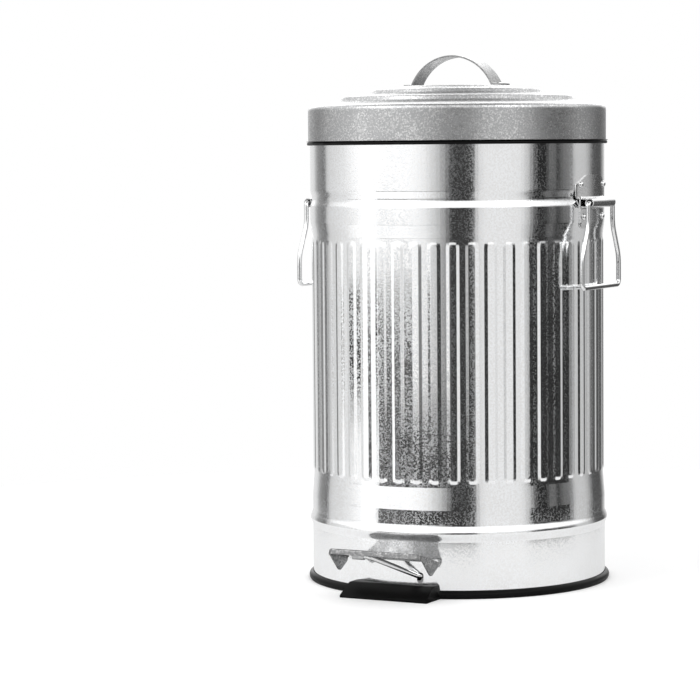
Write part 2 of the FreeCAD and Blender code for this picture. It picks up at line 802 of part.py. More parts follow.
def make_lid_hinge_arm():
    """Plate riveted to the lid's skirt, with two ears round the hinge pin."""
    inner = lid_radius + seat_gap
    outer = inner + hinge_sheet
    low = lid_bottom + 2.0
    high = lid_shoulder - lid_corner_radius - 1.0
    half = hinge_arm_width / 2
    plate = ring(inner, outer, low, high).common(
        block((-half, body_radius * 0.8, low - 1), (half, body_radius + 10, high + 1)))
    root = math.sqrt(inner ** 2 - half ** 2) + 0.3
    tail = hinge_y + hinge_ear_radius
    hollow = ((outer + tail) / 2 - 1.6, (high + hinge_z) / 2 - 2.2)
    profile = ((root, low), (root, high), (outer + 0.5, high), (hollow, (tail, hinge_z)),
               (hinge_y, hinge_z), (hinge_y, low))
    ears = [ear(profile, half - hinge_sheet, hinge_sheet), ear(profile, -half, hinge_sheet)]
    holes = [on_wall(rivet_hole(), inner, bearing_of(offset, inner, 90), height)
             for offset, height in lid_hinge_rivet_places()]
    return plate.fuse(ears).cut(holes + [pin_hole(pin_gap)])


def make_lid_hinge_rivets():
    grip = finger_sheet + lid_sheet + hinge_sheet + 2 * seat_gap
    seat = lid_radius + seat_gap + hinge_sheet
    return [on_wall(rivet(grip), seat, bearing_of(offset, lid_radius, 90), height)
            for offset, height in lid_hinge_rivet_places()]


def make_lift_finger():
    """Bracket inside the skirt whose rounded nose is pushed up by the rod."""
    leg_outer = lid_inner - seat_gap
    leg_inner = leg_outer - finger_sheet
    low = gasket_top + gasket_upstand + 1.0
    high = lid_bottom + 20.0
    half = finger_width / 2
    leg = ring(leg_inner, leg_outer, low, high).common(
        block((-half, body_radius * 0.8, low - 1), (half, body_radius + 10, high + 1)))
    nose_back = nose_y + finger_nose_radius
    arm = outline(
        "yz",
        (leg_inner + 0.6, low), (leg_inner + 0.6, low + finger_sheet),
        (nose_back - finger_sheet, low + finger_sheet), (nose_back - finger_sheet, nose_z),
        (nose_back, nose_z), (nose_back, low), offset=-half,
    ).extrude(Vector(finger_width, 0, 0))
    nose = rod_along(Vector(1, 0, 0), finger_nose_radius, (-half, nose_y, nose_z), finger_width)
    holes = [on_wall(rivet_hole(), lid_inner, bearing_of(offset, lid_inner, 90), height)
             for offset, height in lid_hinge_rivet_places()]
    return leg.fuse([arm, nose]).cut(holes)


# ---------------------------------------------------------------- lift rod and bar
def make_lift_bar():
    """Inverted channel under the can's bottom, from the lever's tip to the rod."""
    half = bar_width / 2
    front, back = tip_y - bar_overlap, rod_y + bar_tail
    top = bar_underside + bar_sheet
    low = bar_underside - bar_leg
    face = outline(
        "xz",
        (-half, low), (-half, top), (half, top), (half, low), (half - bar_sheet, low),
        (half - bar_sheet, bar_underside), (-half + bar_sheet, bar_underside),
        (-half + bar_sheet, low), offset=front,
    )
    channel = face.extrude(Vector(0, back - front, 0))
    return channel.cut(rod_along(Vector(0, 0, 1), rod_radius + seat_gap, (0, rod_y, low), 20))


def make_push_rod():
    """Upright rod; its lower end is headed over in the lift bar."""
    head = rod_radius + 1.1
    thick = 1.4
    low = bar_underside - seat_gap
    high = bar_underside + bar_sheet + seat_gap
    top = rod_top - 2.0
    rod = turned(
        (0, low - thick), (head, low - thick), (head, low), (rod_radius, low),
        (rod_radius, high), (head, high), (head, high + thick), (rod_radius, high + thick),
        (rod_radius, top), (0, top),
    )
    rod.translate(Vector(0, rod_y, 0))
    return rod


def make_rod_tip():
    """Black cap on the rod, which the lid's finger slides on."""
    low = rod_top - rod_tip_length
    edge = 1.0
    tip = turned(
        (rod_radius + seat_gap, low), (rod_tip_radius, low), (rod_tip_radius, rod_top - edge),
        (rod_tip_radius - edge, rod_top), (0, rod_top), (0, rod_top - 2.0 + seat_gap),
        (rod_radius + seat_gap, rod_top - 2.0 + seat_gap),
    )
    tip.translate(Vector(0, rod_y, 0))
    return tip


def make_rod_guide():
    """Small shelf inside the back of the can that guides the rod's upper end."""
    outer = body_inner - seat_gap
    inner = outer - hinge_sheet
    top = body_height - hinge_plate_drop - 20.0
    low = top - 12.0
    half = 13.0
    leg = ring(inner, outer, low, top).common(
        block((-half, body_radius * 0.8, low - 1), (half, body_radius + 10, top + 1)))
    front = rod_y - rod_radius - running_gap - 1.6
    shelf = block((-half + 4, front, top - hinge_sheet), (half - 4, inner + 0.5, top))
    holes = [on_wall(rivet_hole(), inner, bearing_of(offset, inner, 90), height)
             for offset, height in guide_rivet_places]
    hole = rod_along(Vector(0, 0, 1), rod_radius + pin_gap, (0, rod_y, top - 5), 10)
    return leg.fuse(shelf).cut(holes + [hole])


def make_hinge_rivets():
    """Four rivets through plate and can, and two that also hold the rod guide inside."""
    seat = body_radius + seat_gap + hinge_sheet
    grip = hinge_sheet + seat_gap + body_sheet
    pieces = [on_wall(rivet(grip), seat, bearing_of(offset, body_radius, 90), height)
              for offset, height in hinge_rivet_places]
    pieces += [on_wall(rivet(grip + seat_gap + hinge_sheet), seat,
                       bearing_of(offset, body_radius, 90), height)
               for offset, height in guide_rivet_places]
    return pieces


# ---------------------------------------------------------------- pedal
def pedal_point(x, back, down):
    """A point of the pedal plate's own frame: back from its rear edge, down from its top."""
    tilt = 2 * pedal_half_angle
    y = -(body_radius + pedal_rear_gap) + back * math.cos(tilt) - down * math.sin(tilt)
    z = pedal_rear_height - back * math.sin(tilt) - down * math.cos(tilt)
    return (x, y, z)


def on_pedal(shape):
    """Moves a shape from the plate's own frame to its place, tilted up at the front."""
    copy = shape.copy()
    copy.rotate(Vector(0, 0, 0), Vector(1, 0, 0), -pedal_angle)
    copy.translate(Vector(0, -(body_radius + pedal_rear_gap), pedal_rear_height))
    return copy


def rounded(before, corner, after, radius):
    """Start, middle and end of a tangent arc that rounds one corner of an outline."""
    here = Vector(corner[0], corner[1], 0)
    back = (Vector(before[0], before[1], 0) - here).normalize()
    ahead = (Vector(after[0], after[1], 0) - here).normalize()
    half = back.getAngle(ahead) / 2
    reach = radius / math.tan(half)
    start, end = here + back * reach, here + ahead * reach
    middle = here + (back + ahead).normalize() * (radius / math.sin(half) - radius)
    return (start.x, start.y), ((middle.x, middle.y), (end.x, end.y))


def drawn_pan(half, depth, height, corner, bend, back):
    """Block open to the rear and below, with round front corners and a round upper edge."""
    pan = block((-half, -depth, -height), (half, back, 0))
    upright = [e for e in pan.Edges
               if abs(e.Vertexes[0].Z - e.Vertexes[-1].Z) > 1 and e.CenterOfMass.y < -depth + 1]
    pan = pan.makeFillet(corner, upright)
    upper = [e for e in pan.Edges
             if e.BoundBox.ZMin > -1e-6 and e.CenterOfMass.y < back - 1e-3]
    return pan.makeFillet(bend, upper)


def make_pedal_plate():
    """Plate drawn over a block: front lip and two round flaps run on round the corners."""
    depth, sheet, lip = pedal_depth, pedal_sheet, pedal_lip
    half = pedal_width / 2
    height = pedal_flap_depth + 10
    outside = drawn_pan(half, depth, height, pedal_corner, pedal_lip_bend, 0)
    inside = drawn_pan(half - sheet, depth - sheet, height + 1, pedal_corner - sheet,
                       pedal_lip_bend - sheet, 1)
    inside.translate(Vector(0, 0, -sheet))
    rear = -pedal_flap_depth * 0.29
    start = (-depth + pedal_corner, -lip)
    sharp = (-pedal_flap_place, -pedal_flap_depth - 1.8)
    tip_start, tip = rounded(start, sharp, (0, rear), pedal_flap_tip)
    side = outline("yz", (-depth - 1, 1), (-depth - 1, -lip), start, tip_start, tip,
                   (0, rear), (0, 1), offset=-half - 1).extrude(Vector(2 * half + 2, 0, 0))
    return on_pedal(outside.cut(inside).common(side))


def lever_points():
    """Corners of the lever's wire, from under the pedal to the tip under the lift bar."""
    under = pedal_sheet + seat_gap + lever_radius
    entry_y = -(body_radius + 0.5)
    return [
        pedal_point(pedal_wire_offset, -pedal_wire_back, under),
        pedal_point(pedal_wire_offset + pedal_wire_length, -pedal_wire_back, under),
        (lever_entry_x, entry_y, lever_entry_height),
        (lever_entry_x, pivot_y, pivot_height),
        (0, pivot_y, pivot_height),
        (0, tip_y, tip_z),
    ]


def make_pedal_lever():
    return bent_wire(lever_points(), [lever_bend] * 4, lever_radius)


def make_pedal_clip():
    """Saddle spot-welded under the plate, with a round crown over the wire."""
    under = pedal_sheet + seat_gap
    bore = lever_radius + seat_gap
    crown = bore + clip_sheet
    axis = under + lever_radius
    wing = crown + clip_wing
    low = under + clip_sheet
    middle = -pedal_wire_back
    left = pedal_wire_offset + 3.0
    face = outline(
        "yz",
        (middle - wing, -under), (middle - bore, -under), (middle - bore, -axis),
        ((middle, -axis - bore), (middle + bore, -axis)), (middle + bore, -under),
        (middle + wing, -under), (middle + wing, -low), (middle + crown, -low),
        (middle + crown, -axis), ((middle, -axis - crown), (middle - crown, -axis)),
        (middle - crown, -low), (middle - wing, -low), offset=left,
    )
    return on_pedal(face.extrude(Vector(clip_width, 0, 0)))


def make_lever_tip():
    """Black ball cap on the lever's inner end."""
    cap_radius, cap_length = 3.5, 9.0
    wall_end = 1.2
    ball = Part.makeSphere(lever_tip_radius)
    barrel = rod_along(Vector(0, 1, 0), cap_radius, (0, -cap_length, 0), cap_length)
    bore = rod_along(Vector(0, 1, 0), lever_radius + seat_gap, (0, -cap_length - 1, 0),
                     cap_length + 1 + seat_gap)
    cap = ball.fuse(barrel).cut(bore)
    cap.rotate(Vector(0, 0, 0), Vector(1, 0, 0), -math.degrees(pedal_half_angle))
    cap.translate(Vector(0, tip_y, tip_z))
    return cap


def ear_places():
    """Low x of each pivot ear; the pair is centred on the lever's cross run."""
    middle = lever_entry_x / 2
    return [middle - ear_pitch / 2 - ear_sheet / 2, middle + ear_pitch / 2 - ear_sheet / 2]


def lever_rivet_places():
    middle = lever_entry_x / 2
    return [(middle, pivot_y - 6.0), (middle, pivot_y + 6.0)]


def make_lever_bracket():
    """Saddle riveted under the can's bottom, with two ears that carry the lever."""
    top = floor_plate_height - seat_gap
    reach = 9.8
    boss = 6.0
    low_x, high_x = ear_places()
    saddle = block((low_x, pivot_y - reach, top - ear_sheet), (high_x + ear_sheet, pivot_y + reach, top))
    ears = []
    for x in (low_x, high_x):
        face = outline(
            "yz",
            (pivot_y - reach, top), (pivot_y - reach, top - 6), (pivot_y - boss, pivot_height),
            ((pivot_y, pivot_height - boss), (pivot_y + boss, pivot_height)),
            (pivot_y + reach, top - 6), (pivot_y + reach, top), offset=x,
        )
        ears.append(face.extrude(Vector(ear_sheet, 0, 0)))
    holes = [rod_along(Vector(1, 0, 0), lever_radius + pin_gap,
                       (low_x - 5, pivot_y, pivot_height), high_x - low_x + 12)]
    holes += [rod_along(Vector(0, 0, 1), rivet_radius + seat_gap, (x, y, top - 6), 10)
              for x, y in lever_rivet_places()]
    return saddle.fuse(ears).cut(holes)


def make_lever_rivets():
    """Rivets through the saddle and the can's bottom, low heads upwards."""
    grip = body_sheet + seat_gap + ear_sheet
    rivets = []
    for x, y in lever_rivet_places():
        piece = rivet(grip, flat_head_height)
        piece.rotate(Vector(0, 0, 0), Vector(0, 1, 0), -90)
        piece.translate(Vector(x, y, floor_plate_height + body_sheet))
        rivets.append(piece)
    return rivets


# ---------------------------------------------------------------- inner bucket
bucket_bottom = floor_top + bucket_gap
bucket_ear_x = bucket_rim_radius - bucket_rim_width - bucket_ear_inset
bucket_pivot_z = bucket_rim_top + bucket_wire_radius + bucket_wire_seat


def make_inner_bucket():
    """Tapered plastic bucket with a turned-over rim and an ear each side for its handle."""
    wall = bucket_wall
    neck = bucket_rim_radius - bucket_rim_width
    base = bucket_base_radius
    under_rim = bucket_rim_top - bucket_rim_height
    curve = 8.0
    bite = curve * (1 - math.sqrt(0.5))
    shell = turned(
        (0, bucket_bottom), (base - curve, bucket_bottom),
        ((base - bite, bucket_bottom + bite), (base, bucket_bottom + curve)),
        (neck, under_rim), (bucket_rim_radius - wall, under_rim),
        (bucket_rim_radius - wall, bucket_rim_top - bucket_lip),
        (bucket_rim_radius, bucket_rim_top - bucket_lip),
        (bucket_rim_radius, bucket_rim_top - 1.2), (bucket_rim_radius - 1.2, bucket_rim_top),
        (neck - wall, bucket_rim_top), (neck - wall, under_rim), (base - wall, bucket_bottom + curve),
        ((base - bite - wall * 0.7, bucket_bottom + bite + wall * 0.7),
         (base - curve, bucket_bottom + wall)),
        (0, bucket_bottom + wall),
    )
    x, half = bucket_ear_x, bucket_ear_width / 2
    top = bucket_rim_top + bucket_ear_height
    lug = block((x, -half, bucket_rim_top - 7), (neck - wall / 2, half, bucket_rim_top - 0.5))
    face = outline(
        "yz", (-half, bucket_rim_top - 7), (-half, top - half),
        ((0, top), (half, top - half)), (half, bucket_rim_top - 7), offset=x)
    tab = face.extrude(Vector(bucket_ear_sheet, 0, 0))
    bore = rod_along(Vector(1, 0, 0), bucket_wire_radius + pin_gap, (x - 5, 0, bucket_pivot_z), 10)
    side = lug.fuse(tab).cut(bore)
    return shell.fuse([side, mirrored(side)])


def make_bucket_handle():
    """Wire handle lying on the front of the rim, hooked through both ears."""
    bend = bucket_wire_bend
    radius = bucket_rim_radius - bucket_rim_width - 0.5
    end = bucket_ear_x - 3.0
    z = bucket_pivot_z
    diagonal = math.sqrt(0.5)
    corner = radius - bend

    def bend_arc(side):
        start = Vector(side * corner, 0, z)
        middle = Vector(side * (corner + bend * diagonal), -bend * (1 - diagonal), z)
        stop = Vector(side * radius, -bend, z)
        return (start, middle, stop)

    first, last = bend_arc(1), bend_arc(-1)
    edges = [
        Part.makeLine(Vector(end, 0, z), first[0]),
        Part.Arc(*first).toShape(),
        Part.Arc(first[2], Vector(0, -bend - radius, z), last[2]).toShape(),
        Part.Arc(last[2], last[1], last[0]).toShape(),
        Part.makeLine(last[0], Vector(-end, 0, z)),
    ]
    return swept(edges, bucket_wire_radius)


# ---------------------------------------------------------------- write every piece
def numbered(name, shapes):
    """One named piece for each of several alike."""
    return {"%s_%d" % (name, i + 1): shape for i, shape in enumerate(shapes)}


def pieces():
    bracket, rivets, bail = make_handle_bracket(), make_handle_rivets(), make_bail()
    found = {
        "body_shell": make_body_shell(),
        "base_ring": make_base_ring(),
        "floor_plate": make_floor_plate(),
        "top_collar": make_top_collar(),
        "handle_bracket_right": bracket,
        "handle_bracket_left": mirrored(bracket),
        "bail_right": bail,
        "bail_left": mirrored(bail),
        "hinge_bracket": make_hinge_bracket(),
        "hinge_pin": make_hinge_pin(),
        "rod_guide": make_rod_guide(),
        "lever_bracket": make_lever_bracket(),
        "lid_shell": make_lid_shell(),
        "lid_gasket": make_lid_gasket(),
        "lid_handle": make_lid_handle(),
        "lid_hinge_arm": make_lid_hinge_arm(),
        "lift_finger": make_lift_finger(),
        "push_rod": make_push_rod(),
        "push_rod_tip": make_rod_tip(),
        "lift_bar": make_lift_bar(),
        "pedal_plate": make_pedal_plate(),
        "pedal_clip": make_pedal_clip(),
        "pedal_lever": make_pedal_lever(),
        "lever_tip": make_lever_tip(),
        "inner_bucket": make_inner_bucket(),
        "bucket_handle": make_bucket_handle(),
    }
    found.update(numbered("handle_rivet_right", rivets))
    found.update(numbered("handle_rivet_left", [mirrored(piece) for piece in rivets]))
    found.update(numbered("hinge_rivet", make_hinge_rivets()))
    found.update(numbered("lever_rivet", make_lever_rivets()))
    found.update(numbered("strap_rivet", make_strap_rivets()))
    found.update(numbered("lid_hinge_rivet", make_lid_hinge_rivets()))
    return found


def main():
    os.makedirs("parts", exist_ok=True)
    for name, shape in pieces().items():
        shape.exportStep("parts/" + name + ".step")
        box = shape.BoundBox
        print("%-22s solids %2d valid %s volume %10.1f  x %.1f..%.1f  y %.1f..%.1f  z %.1f..%.1f" % (
            name, len(shape.Solids), shape.isValid(), shape.Volume,
            box.XMin, box.XMax, box.YMin, box.YMax, box.ZMin, box.ZMax))
    print("lid opens %.1f deg, rod lifts %.2f mm, pedal turns %.3f deg" % (
        lid_open_angle, lift, pedal_angle))
    print("hinge pin y %.3f z %.3f, pivot y %.3f z %.3f, bail axis x %.3f z %.3f, bucket pivot z %.3f" % (
        hinge_y, hinge_z, pivot_y, pivot_height, handle_axis, handle_height, bucket_pivot_z))


main()
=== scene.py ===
"""Looks of a round galvanised pedal bin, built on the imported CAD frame.

The fluted wall, the lid with its gasket and the wires of the side handles are modelled
here. The other pieces are joined and smoothly shaded copies of their CAD nodes.
"""

import logging
import math
from dataclasses import dataclass
from enum import Enum

import bpy
from bpy.types import Material, Node, NodeInputs, NodeOutputs, NodeSocket, NodeTree, Object
from mathutils import Matrix, Vector

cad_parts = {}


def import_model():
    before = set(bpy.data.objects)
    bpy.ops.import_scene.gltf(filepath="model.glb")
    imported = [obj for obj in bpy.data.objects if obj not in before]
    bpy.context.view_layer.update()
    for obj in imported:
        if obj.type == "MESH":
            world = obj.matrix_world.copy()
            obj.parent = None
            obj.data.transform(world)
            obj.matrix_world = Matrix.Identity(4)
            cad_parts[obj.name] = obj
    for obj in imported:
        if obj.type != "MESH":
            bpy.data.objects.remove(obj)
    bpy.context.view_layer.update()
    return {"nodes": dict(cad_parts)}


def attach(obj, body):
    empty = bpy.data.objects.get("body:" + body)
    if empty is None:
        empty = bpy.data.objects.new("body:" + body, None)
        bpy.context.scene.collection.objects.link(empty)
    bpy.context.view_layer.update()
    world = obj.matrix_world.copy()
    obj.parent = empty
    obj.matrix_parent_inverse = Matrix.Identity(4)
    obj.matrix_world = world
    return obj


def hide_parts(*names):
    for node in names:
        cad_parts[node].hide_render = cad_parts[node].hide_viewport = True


LOG = logging.getLogger("pedal_bin")
MM = 0.001
Point = tuple[float, float]
Outline = list[Point]


class Body(Enum):
    """CAD bodies that pieces ride on."""

    CAN = "can"
    LID = "lid"
    RIGHT_BAIL = "right_bail"
    LEFT_BAIL = "left_bail"
    PEDAL = "pedal"
    LIFT_ROD = "lift_rod"
    BUCKET = "bucket"
    BUCKET_BAIL = "bucket_bail"


class Slot(Enum):
    """Material slots of the record."""

    WALL = "galvanised_sheet"
    LID = "lid_sheet"
    PRESSED = "pressed_steel"
    WIRE = "plated_wire"
    RIVET = "rivet_steel"
    LINKAGE = "linkage_steel"
    PLASTIC = "black_plastic"
    RUBBER = "black_rubber"
    BUCKET = "bucket_plastic"


# -------- shader tools
class Shader:
    """Short way to place and join nodes in one node tree."""

    def __init__(self, tree: NodeTree) -> None:
        """Takes the tree that the nodes go into.

        Args:
            tree: a material's, world's or group's node tree.
        """
        self.tree = tree
        self.column = 0

    def node(self, kind: str, **settings: object) -> Node:
        """Adds a node.

        Args:
            kind: Blender's class name of the node, after ShaderNode.
            settings: attributes to set on it.

        Returns:
            The new node.
        """
        made = self.tree.nodes.new("ShaderNode" + kind)
        made.location = (self.column * 190, 0)
        self.column += 1
        for name, value in settings.items():
            setattr(made, name, value)
        return made

    def join(self, source: NodeSocket, target: NodeSocket) -> None:
        """Links an output to an input."""
        self.tree.links.new(source, target)

    def feed(self, value: object, target: NodeSocket) -> None:
        """Links a socket to an input, or sets the input to a plain value.

        Args:
            value: a socket, a number or a colour.
            target: the input.
        """
        if isinstance(value, NodeSocket):
            self.join(value, target)
        else:
            target.default_value = value

    def maths(self, operation: str, *values: object, clamp: bool = False) -> NodeSocket:
        """Adds a Math node.

        Args:
            operation: Blender's name of the operation.
            values: sockets or numbers, one per input.
            clamp: keeps the result within 0 and 1.

        Returns:
            The node's output.
        """
        made = self.node("Math", operation=operation, use_clamp=clamp)
        for value, target in zip(values, made.inputs):
            self.feed(value, target)
        return made.outputs[0]

    def spread(
        self, value: object, low: float, high: float, to_low: float = 0.0, to_high: float = 1.0
    ) -> NodeSocket:
        """Maps a value from one range to another, smoothly and clamped.

        Args:
            value: the socket to map.
            low: start of its range.
            high: end of its range.
            to_low: result at the start.
            to_high: result at the end.

        Returns:
            The mapped value.
        """
        made = self.node("MapRange", interpolation_type="SMOOTHSTEP")
        for given, target in zip((value, low, high, to_low, to_high), made.inputs):
            self.feed(given, target)
        return made.outputs[0]

    def window(
        self, value: object, low: float, high: float, low_edge: float, high_edge: float
    ) -> NodeSocket:
        """Is 1 between two values of a socket and 0 outside them, with soft edges.

        Args:
            value: the socket.
            low: middle of the lower edge.
            high: middle of the upper edge.
            low_edge: half the softness of the lower edge.
            high_edge: half the softness of the upper edge.

        Returns:
            The window.
        """
        return self.maths(
            "MULTIPLY",
            self.spread(value, low - low_edge, low + low_edge),
            self.spread(value, high - high_edge, high + high_edge, 1.0, 0.0),
        )

    def noise(
        self, place: object, scale: object, detail: float, roughness: float
    ) -> NodeSocket:
        """Adds a Noise texture.

        Args:
            place: coordinates that it is read at.
            scale: socket or number, in cells per metre.
            detail: number of finer layers.
            roughness: strength of each finer layer.

        Returns:
            The noise, about 0.5.
        """
        made = self.node("TexNoise")
        for given, label in (
            (place, "Vector"), (scale, "Scale"), (detail, "Detail"), (roughness, "Roughness")
        ):
            self.feed(given, made.inputs[label])
        return made.outputs["Fac"]

    def mix_colour(self, factor: object, first: object, second: object) -> NodeSocket:
        """Mixes two colours.

        Args:
            factor: socket or number.
            first: colour at 0.
            second: colour at 1.

        Returns:
            The mixed colour.
        """
        made = self.node("Mix", data_type="RGBA")
        self.feed(factor, made.inputs["Factor"])
        self.feed(first, made.inputs[6])
        self.feed(second, made.inputs[7])
        return made.outputs[2]

    def ramp(self, factor: object, stops: list[tuple[float, float]]) -> NodeSocket:
        """Adds a grey colour ramp.

        Args:
            factor: what runs along the ramp.
            stops: (place from 0 to 1, grey) in rising order.

        Returns:
            The ramp's colour.
        """
        made = self.node("ValToRGB")
        elements = made.color_ramp.elements
        elements.remove(elements[1])
        elements[0].position = stops[0][0]
        for place, _ in stops[1:]:
            elements.new(place)
        for element, (_, level) in zip(elements, stops):
            element.color = grey(level)
        self.feed(factor, made.inputs["Fac"])
        return made.outputs["Color"]

    def grouped(self, group: NodeTree, **values: float) -> Node:
        """Places a node group with its own values.

        Args:
            group: the group.
            values: value of each input, by the input's name.

        Returns:
            The new node.
        """
        made = self.node("Group", node_tree=group)
        for label, value in values.items():
            made.inputs[label].default_value = value
        return made

    def bump(self, height: NodeSocket, depth: float) -> Node:
        """Adds a Bump node.

        Args:
            height: the relief that it reads.
            depth: depth of the relief in metres.

        Returns:
            The new node.
        """
        made = self.node("Bump")
        made.inputs["Distance"].default_value = depth
        self.join(height, made.inputs["Height"])
        return made

    def dress(
        self,
        surface: Node,
        colour: NodeSocket,
        roughness: NodeSocket,
        bump: Node,
    ) -> None:
        """Feeds a surface and joins it to the material's output.

        Args:
            surface: the Principled BSDF.
            colour: its colour.
            roughness: its roughness.
            bump: the Bump node that turns its normal.
        """
        self.join(colour, surface.inputs["Base Color"])
        self.join(roughness, surface.inputs["Roughness"])
        self.join(bump.outputs["Normal"], surface.inputs["Normal"])
        done = self.node("OutputMaterial")
        self.join(surface.outputs["BSDF"], done.inputs["Surface"])


def grey(level: float, warmth: float = 0.0) -> tuple[float, float, float, float]:
    """A near-neutral colour.

    Args:
        level: its brightness.
        warmth: how far red is above and blue below that.

    Returns:
        Red, green, blue and alpha.
    """
    return (level * (1 + warmth), level, level * (1 - warmth), 1.0)


def start_material(name: str) -> tuple[Material, Shader]:
    """Starts an empty material.

    Args:
        name: the material's name.

    Returns:
        The material, and the tool that places its nodes.
    """
    material = bpy.data.materials.new(name)
    material.use_nodes = True
    material.node_tree.nodes.clear()
    return material, Shader(material.node_tree)


def new_group(
    name: str, inputs: dict[str, float], outputs: tuple[str, ...]
) -> tuple[Shader, NodeOutputs, NodeInputs]:
    """Starts a shader node group with named sockets, all of them numbers.

    Args:
        name: the group's name.
        inputs: input sockets and their defaults.
        outputs: output sockets.

    Returns:
        The tool that places the group's nodes, what the group is given, and what it puts out.
    """
    group = bpy.data.node_groups.new(name, "ShaderNodeTree")
    for label, value in inputs.items():
        socket = group.interface.new_socket(label, in_out="INPUT", socket_type="NodeSocketFloat")
        socket.default_value = value
    for label in outputs:
        group.interface.new_socket(label, in_out="OUTPUT", socket_type="NodeSocketFloat")
    given, done = group.nodes.new("NodeGroupInput"), group.nodes.new("NodeGroupOutput")
    return Shader(group), given.outputs, done.inputs


def spangle_group() -> NodeTree:
    """Zinc spangle: small matt flecks on a bright skin, gathered in patches under soft clouds.

    Returns:
        A group with inputs Flake (flakes per metre), Cloud (clouds per metre) and Cover (share
        of the sheet under flecks), and outputs Tone, Fleck, Cloud and Height.
    """
    defaults = {"Flake": 500.0, "Cloud": 14.0, "Cover": 0.5}
    shader, given, done = new_group(
        "zinc_spangle", defaults, ("Tone", "Fleck", "Cloud", "Height")
    )
    place = shader.node("TexCoord").outputs["Object"]
    flakes = shader.node("TexVoronoi", feature="F1")
    shader.join(place, flakes.inputs["Vector"])
    shader.join(given["Flake"], flakes.inputs["Scale"])
    parts = shader.node("SeparateColor")
    shader.join(flakes.outputs["Color"], parts.inputs[0])
    fleck_size, patch_size = 0.8, 0.05  # cells to one flake
    flecks = shader.noise(place, shader.maths("MULTIPLY", given["Flake"], fleck_size), 2.5, 0.6)
    patches = shader.noise(place, shader.maths("MULTIPLY", given["Flake"], patch_size), 2.0, 0.5)
    clouds = shader.noise(place, given["Cloud"], 4.0, 0.62)
    # flecks lie where their noise is above this level; patches and cover lower it
    bare_level, pull = 0.72, 0.22
    lowered = shader.maths(
        "MULTIPLY_ADD", patches, pull, shader.maths("MULTIPLY", given["Cover"], pull)
    )
    above = shader.maths("SUBTRACT", flecks, shader.maths("SUBTRACT", bare_level, lowered))
    shader.join(parts.outputs[0], done["Tone"])
    shader.join(shader.spread(above, -0.03, 0.04), done["Fleck"])
    shader.join(shader.spread(clouds, 0.36, 0.66), done["Cloud"])
    shader.join(shader.maths("ADD", parts.outputs[2], flecks), done["Height"])
    return shader.tree


def grain_group() -> NodeTree:
    """Fine moulded grain with a slow variation over it.

    Returns:
        A group with input Grain (grains per metre), and outputs Height and Patch.
    """
    shader, given, done = new_group("moulded_grain", {"Grain": 1400.0}, ("Height", "Patch"))
    place = shader.node("TexCoord").outputs["Object"]
    grains = shader.node("TexVoronoi", feature="SMOOTH_F1")
    shader.join(place, grains.inputs["Vector"])
    shader.join(given["Grain"], grains.inputs["Scale"])
    slow = shader.noise(place, 25.0, 3.0, 0.5)
    shader.join(grains.outputs["Distance"], done["Height"])
    shader.join(shader.spread(slow, 0.35, 0.65), done["Patch"])
    return shader.tree


# -------- finishes
@dataclass(frozen=True)
class ZincFinish:
    """Galvanised or plated steel with spangle.

    Attributes:
        name: name of the material.
        bright: colour of the light flakes.
        dull: colour of the dark flakes.
        smooth: roughness of a clean flake.
        rough: roughness of a dull fleck.
        clouding: how much the clouds add to the roughness.
        flake: flakes per metre.
        cloud: clouds per metre.
        cover: share of the sheet under flecks.
        relief: depth of the flakes in metres.
        wave: depth of the sheet's slow waves in metres.
        fleck_tone: brightness of the flecks beside the dark flakes.
    """

    name: str
    bright: float
    dull: float
    smooth: float
    rough: float
    clouding: float
    flake: float
    cloud: float
    cover: float
    relief: float
    wave: float = 0.0
    fleck_tone: float = 0.97

    def make(self, group: NodeTree) -> Material:
        """Builds the material.

        Args:
            group: the spangle group.

        Returns:
            The new material.
        """
        material, shader = start_material(self.name)
        spangle = shader.grouped(group, Flake=self.flake, Cloud=self.cloud, Cover=self.cover)
        tone, fleck, cloud, height = spangle.outputs
        colour = shader.mix_colour(tone, grey(self.dull), grey(self.bright))
        flecked = shader.mix_colour(fleck, colour, grey(self.dull * self.fleck_tone, -0.01))
        base = shader.maths("MULTIPLY_ADD", cloud, self.clouding, self.smooth)
        roughness = shader.maths(
            "MULTIPLY_ADD", fleck, self.rough - self.smooth, base, clamp=True
        )
        bump = shader.bump(height, self.relief)
        if self.wave:
            place = shader.node("TexCoord").outputs["Object"]
            waves_per_metre = 9.0
            wave = shader.bump(shader.noise(place, waves_per_metre, 1.0, 0.5), self.wave)
            shader.join(wave.outputs["Normal"], bump.inputs["Normal"])
        surface = shader.node("BsdfPrincipled")
        surface.inputs["Metallic"].default_value = 1.0
        shader.dress(surface, flecked, roughness, bump)
        return material


@dataclass(frozen=True)
class PlasticFinish:
    """Moulded black plastic or rubber.

    Attributes:
        name: name of the material.
        level: brightness of its colour.
        roughness: its mean roughness.
        spread: how far the roughness varies.
        grain: grains per metre.
        relief: depth of the grain in metres.
        shine: specular level of its surface.
    """

    name: str
    level: float
    roughness: float
    spread: float
    grain: float
    relief: float
    shine: float = 0.5

    def make(self, group: NodeTree) -> Material:
        """Builds the material.

        Args:
            group: the grain group.

        Returns:
            The new material.
        """
        material, shader = start_material(self.name)
        grain = shader.grouped(group, Grain=self.grain)
        patch = grain.outputs["Patch"]
        paler = 1.35
        colour = shader.mix_colour(patch, grey(self.level), grey(self.level * paler))
        roughness = shader.maths(
            "MULTIPLY_ADD", patch, self.spread, self.roughness - self.spread / 2
        )
        bump = shader.bump(grain.outputs["Height"], self.relief)
        surface = shader.node("BsdfPrincipled")
        surface.inputs["Specular IOR Level"].default_value = self.shine
        shader.dress(surface, colour, roughness, bump)
        return material


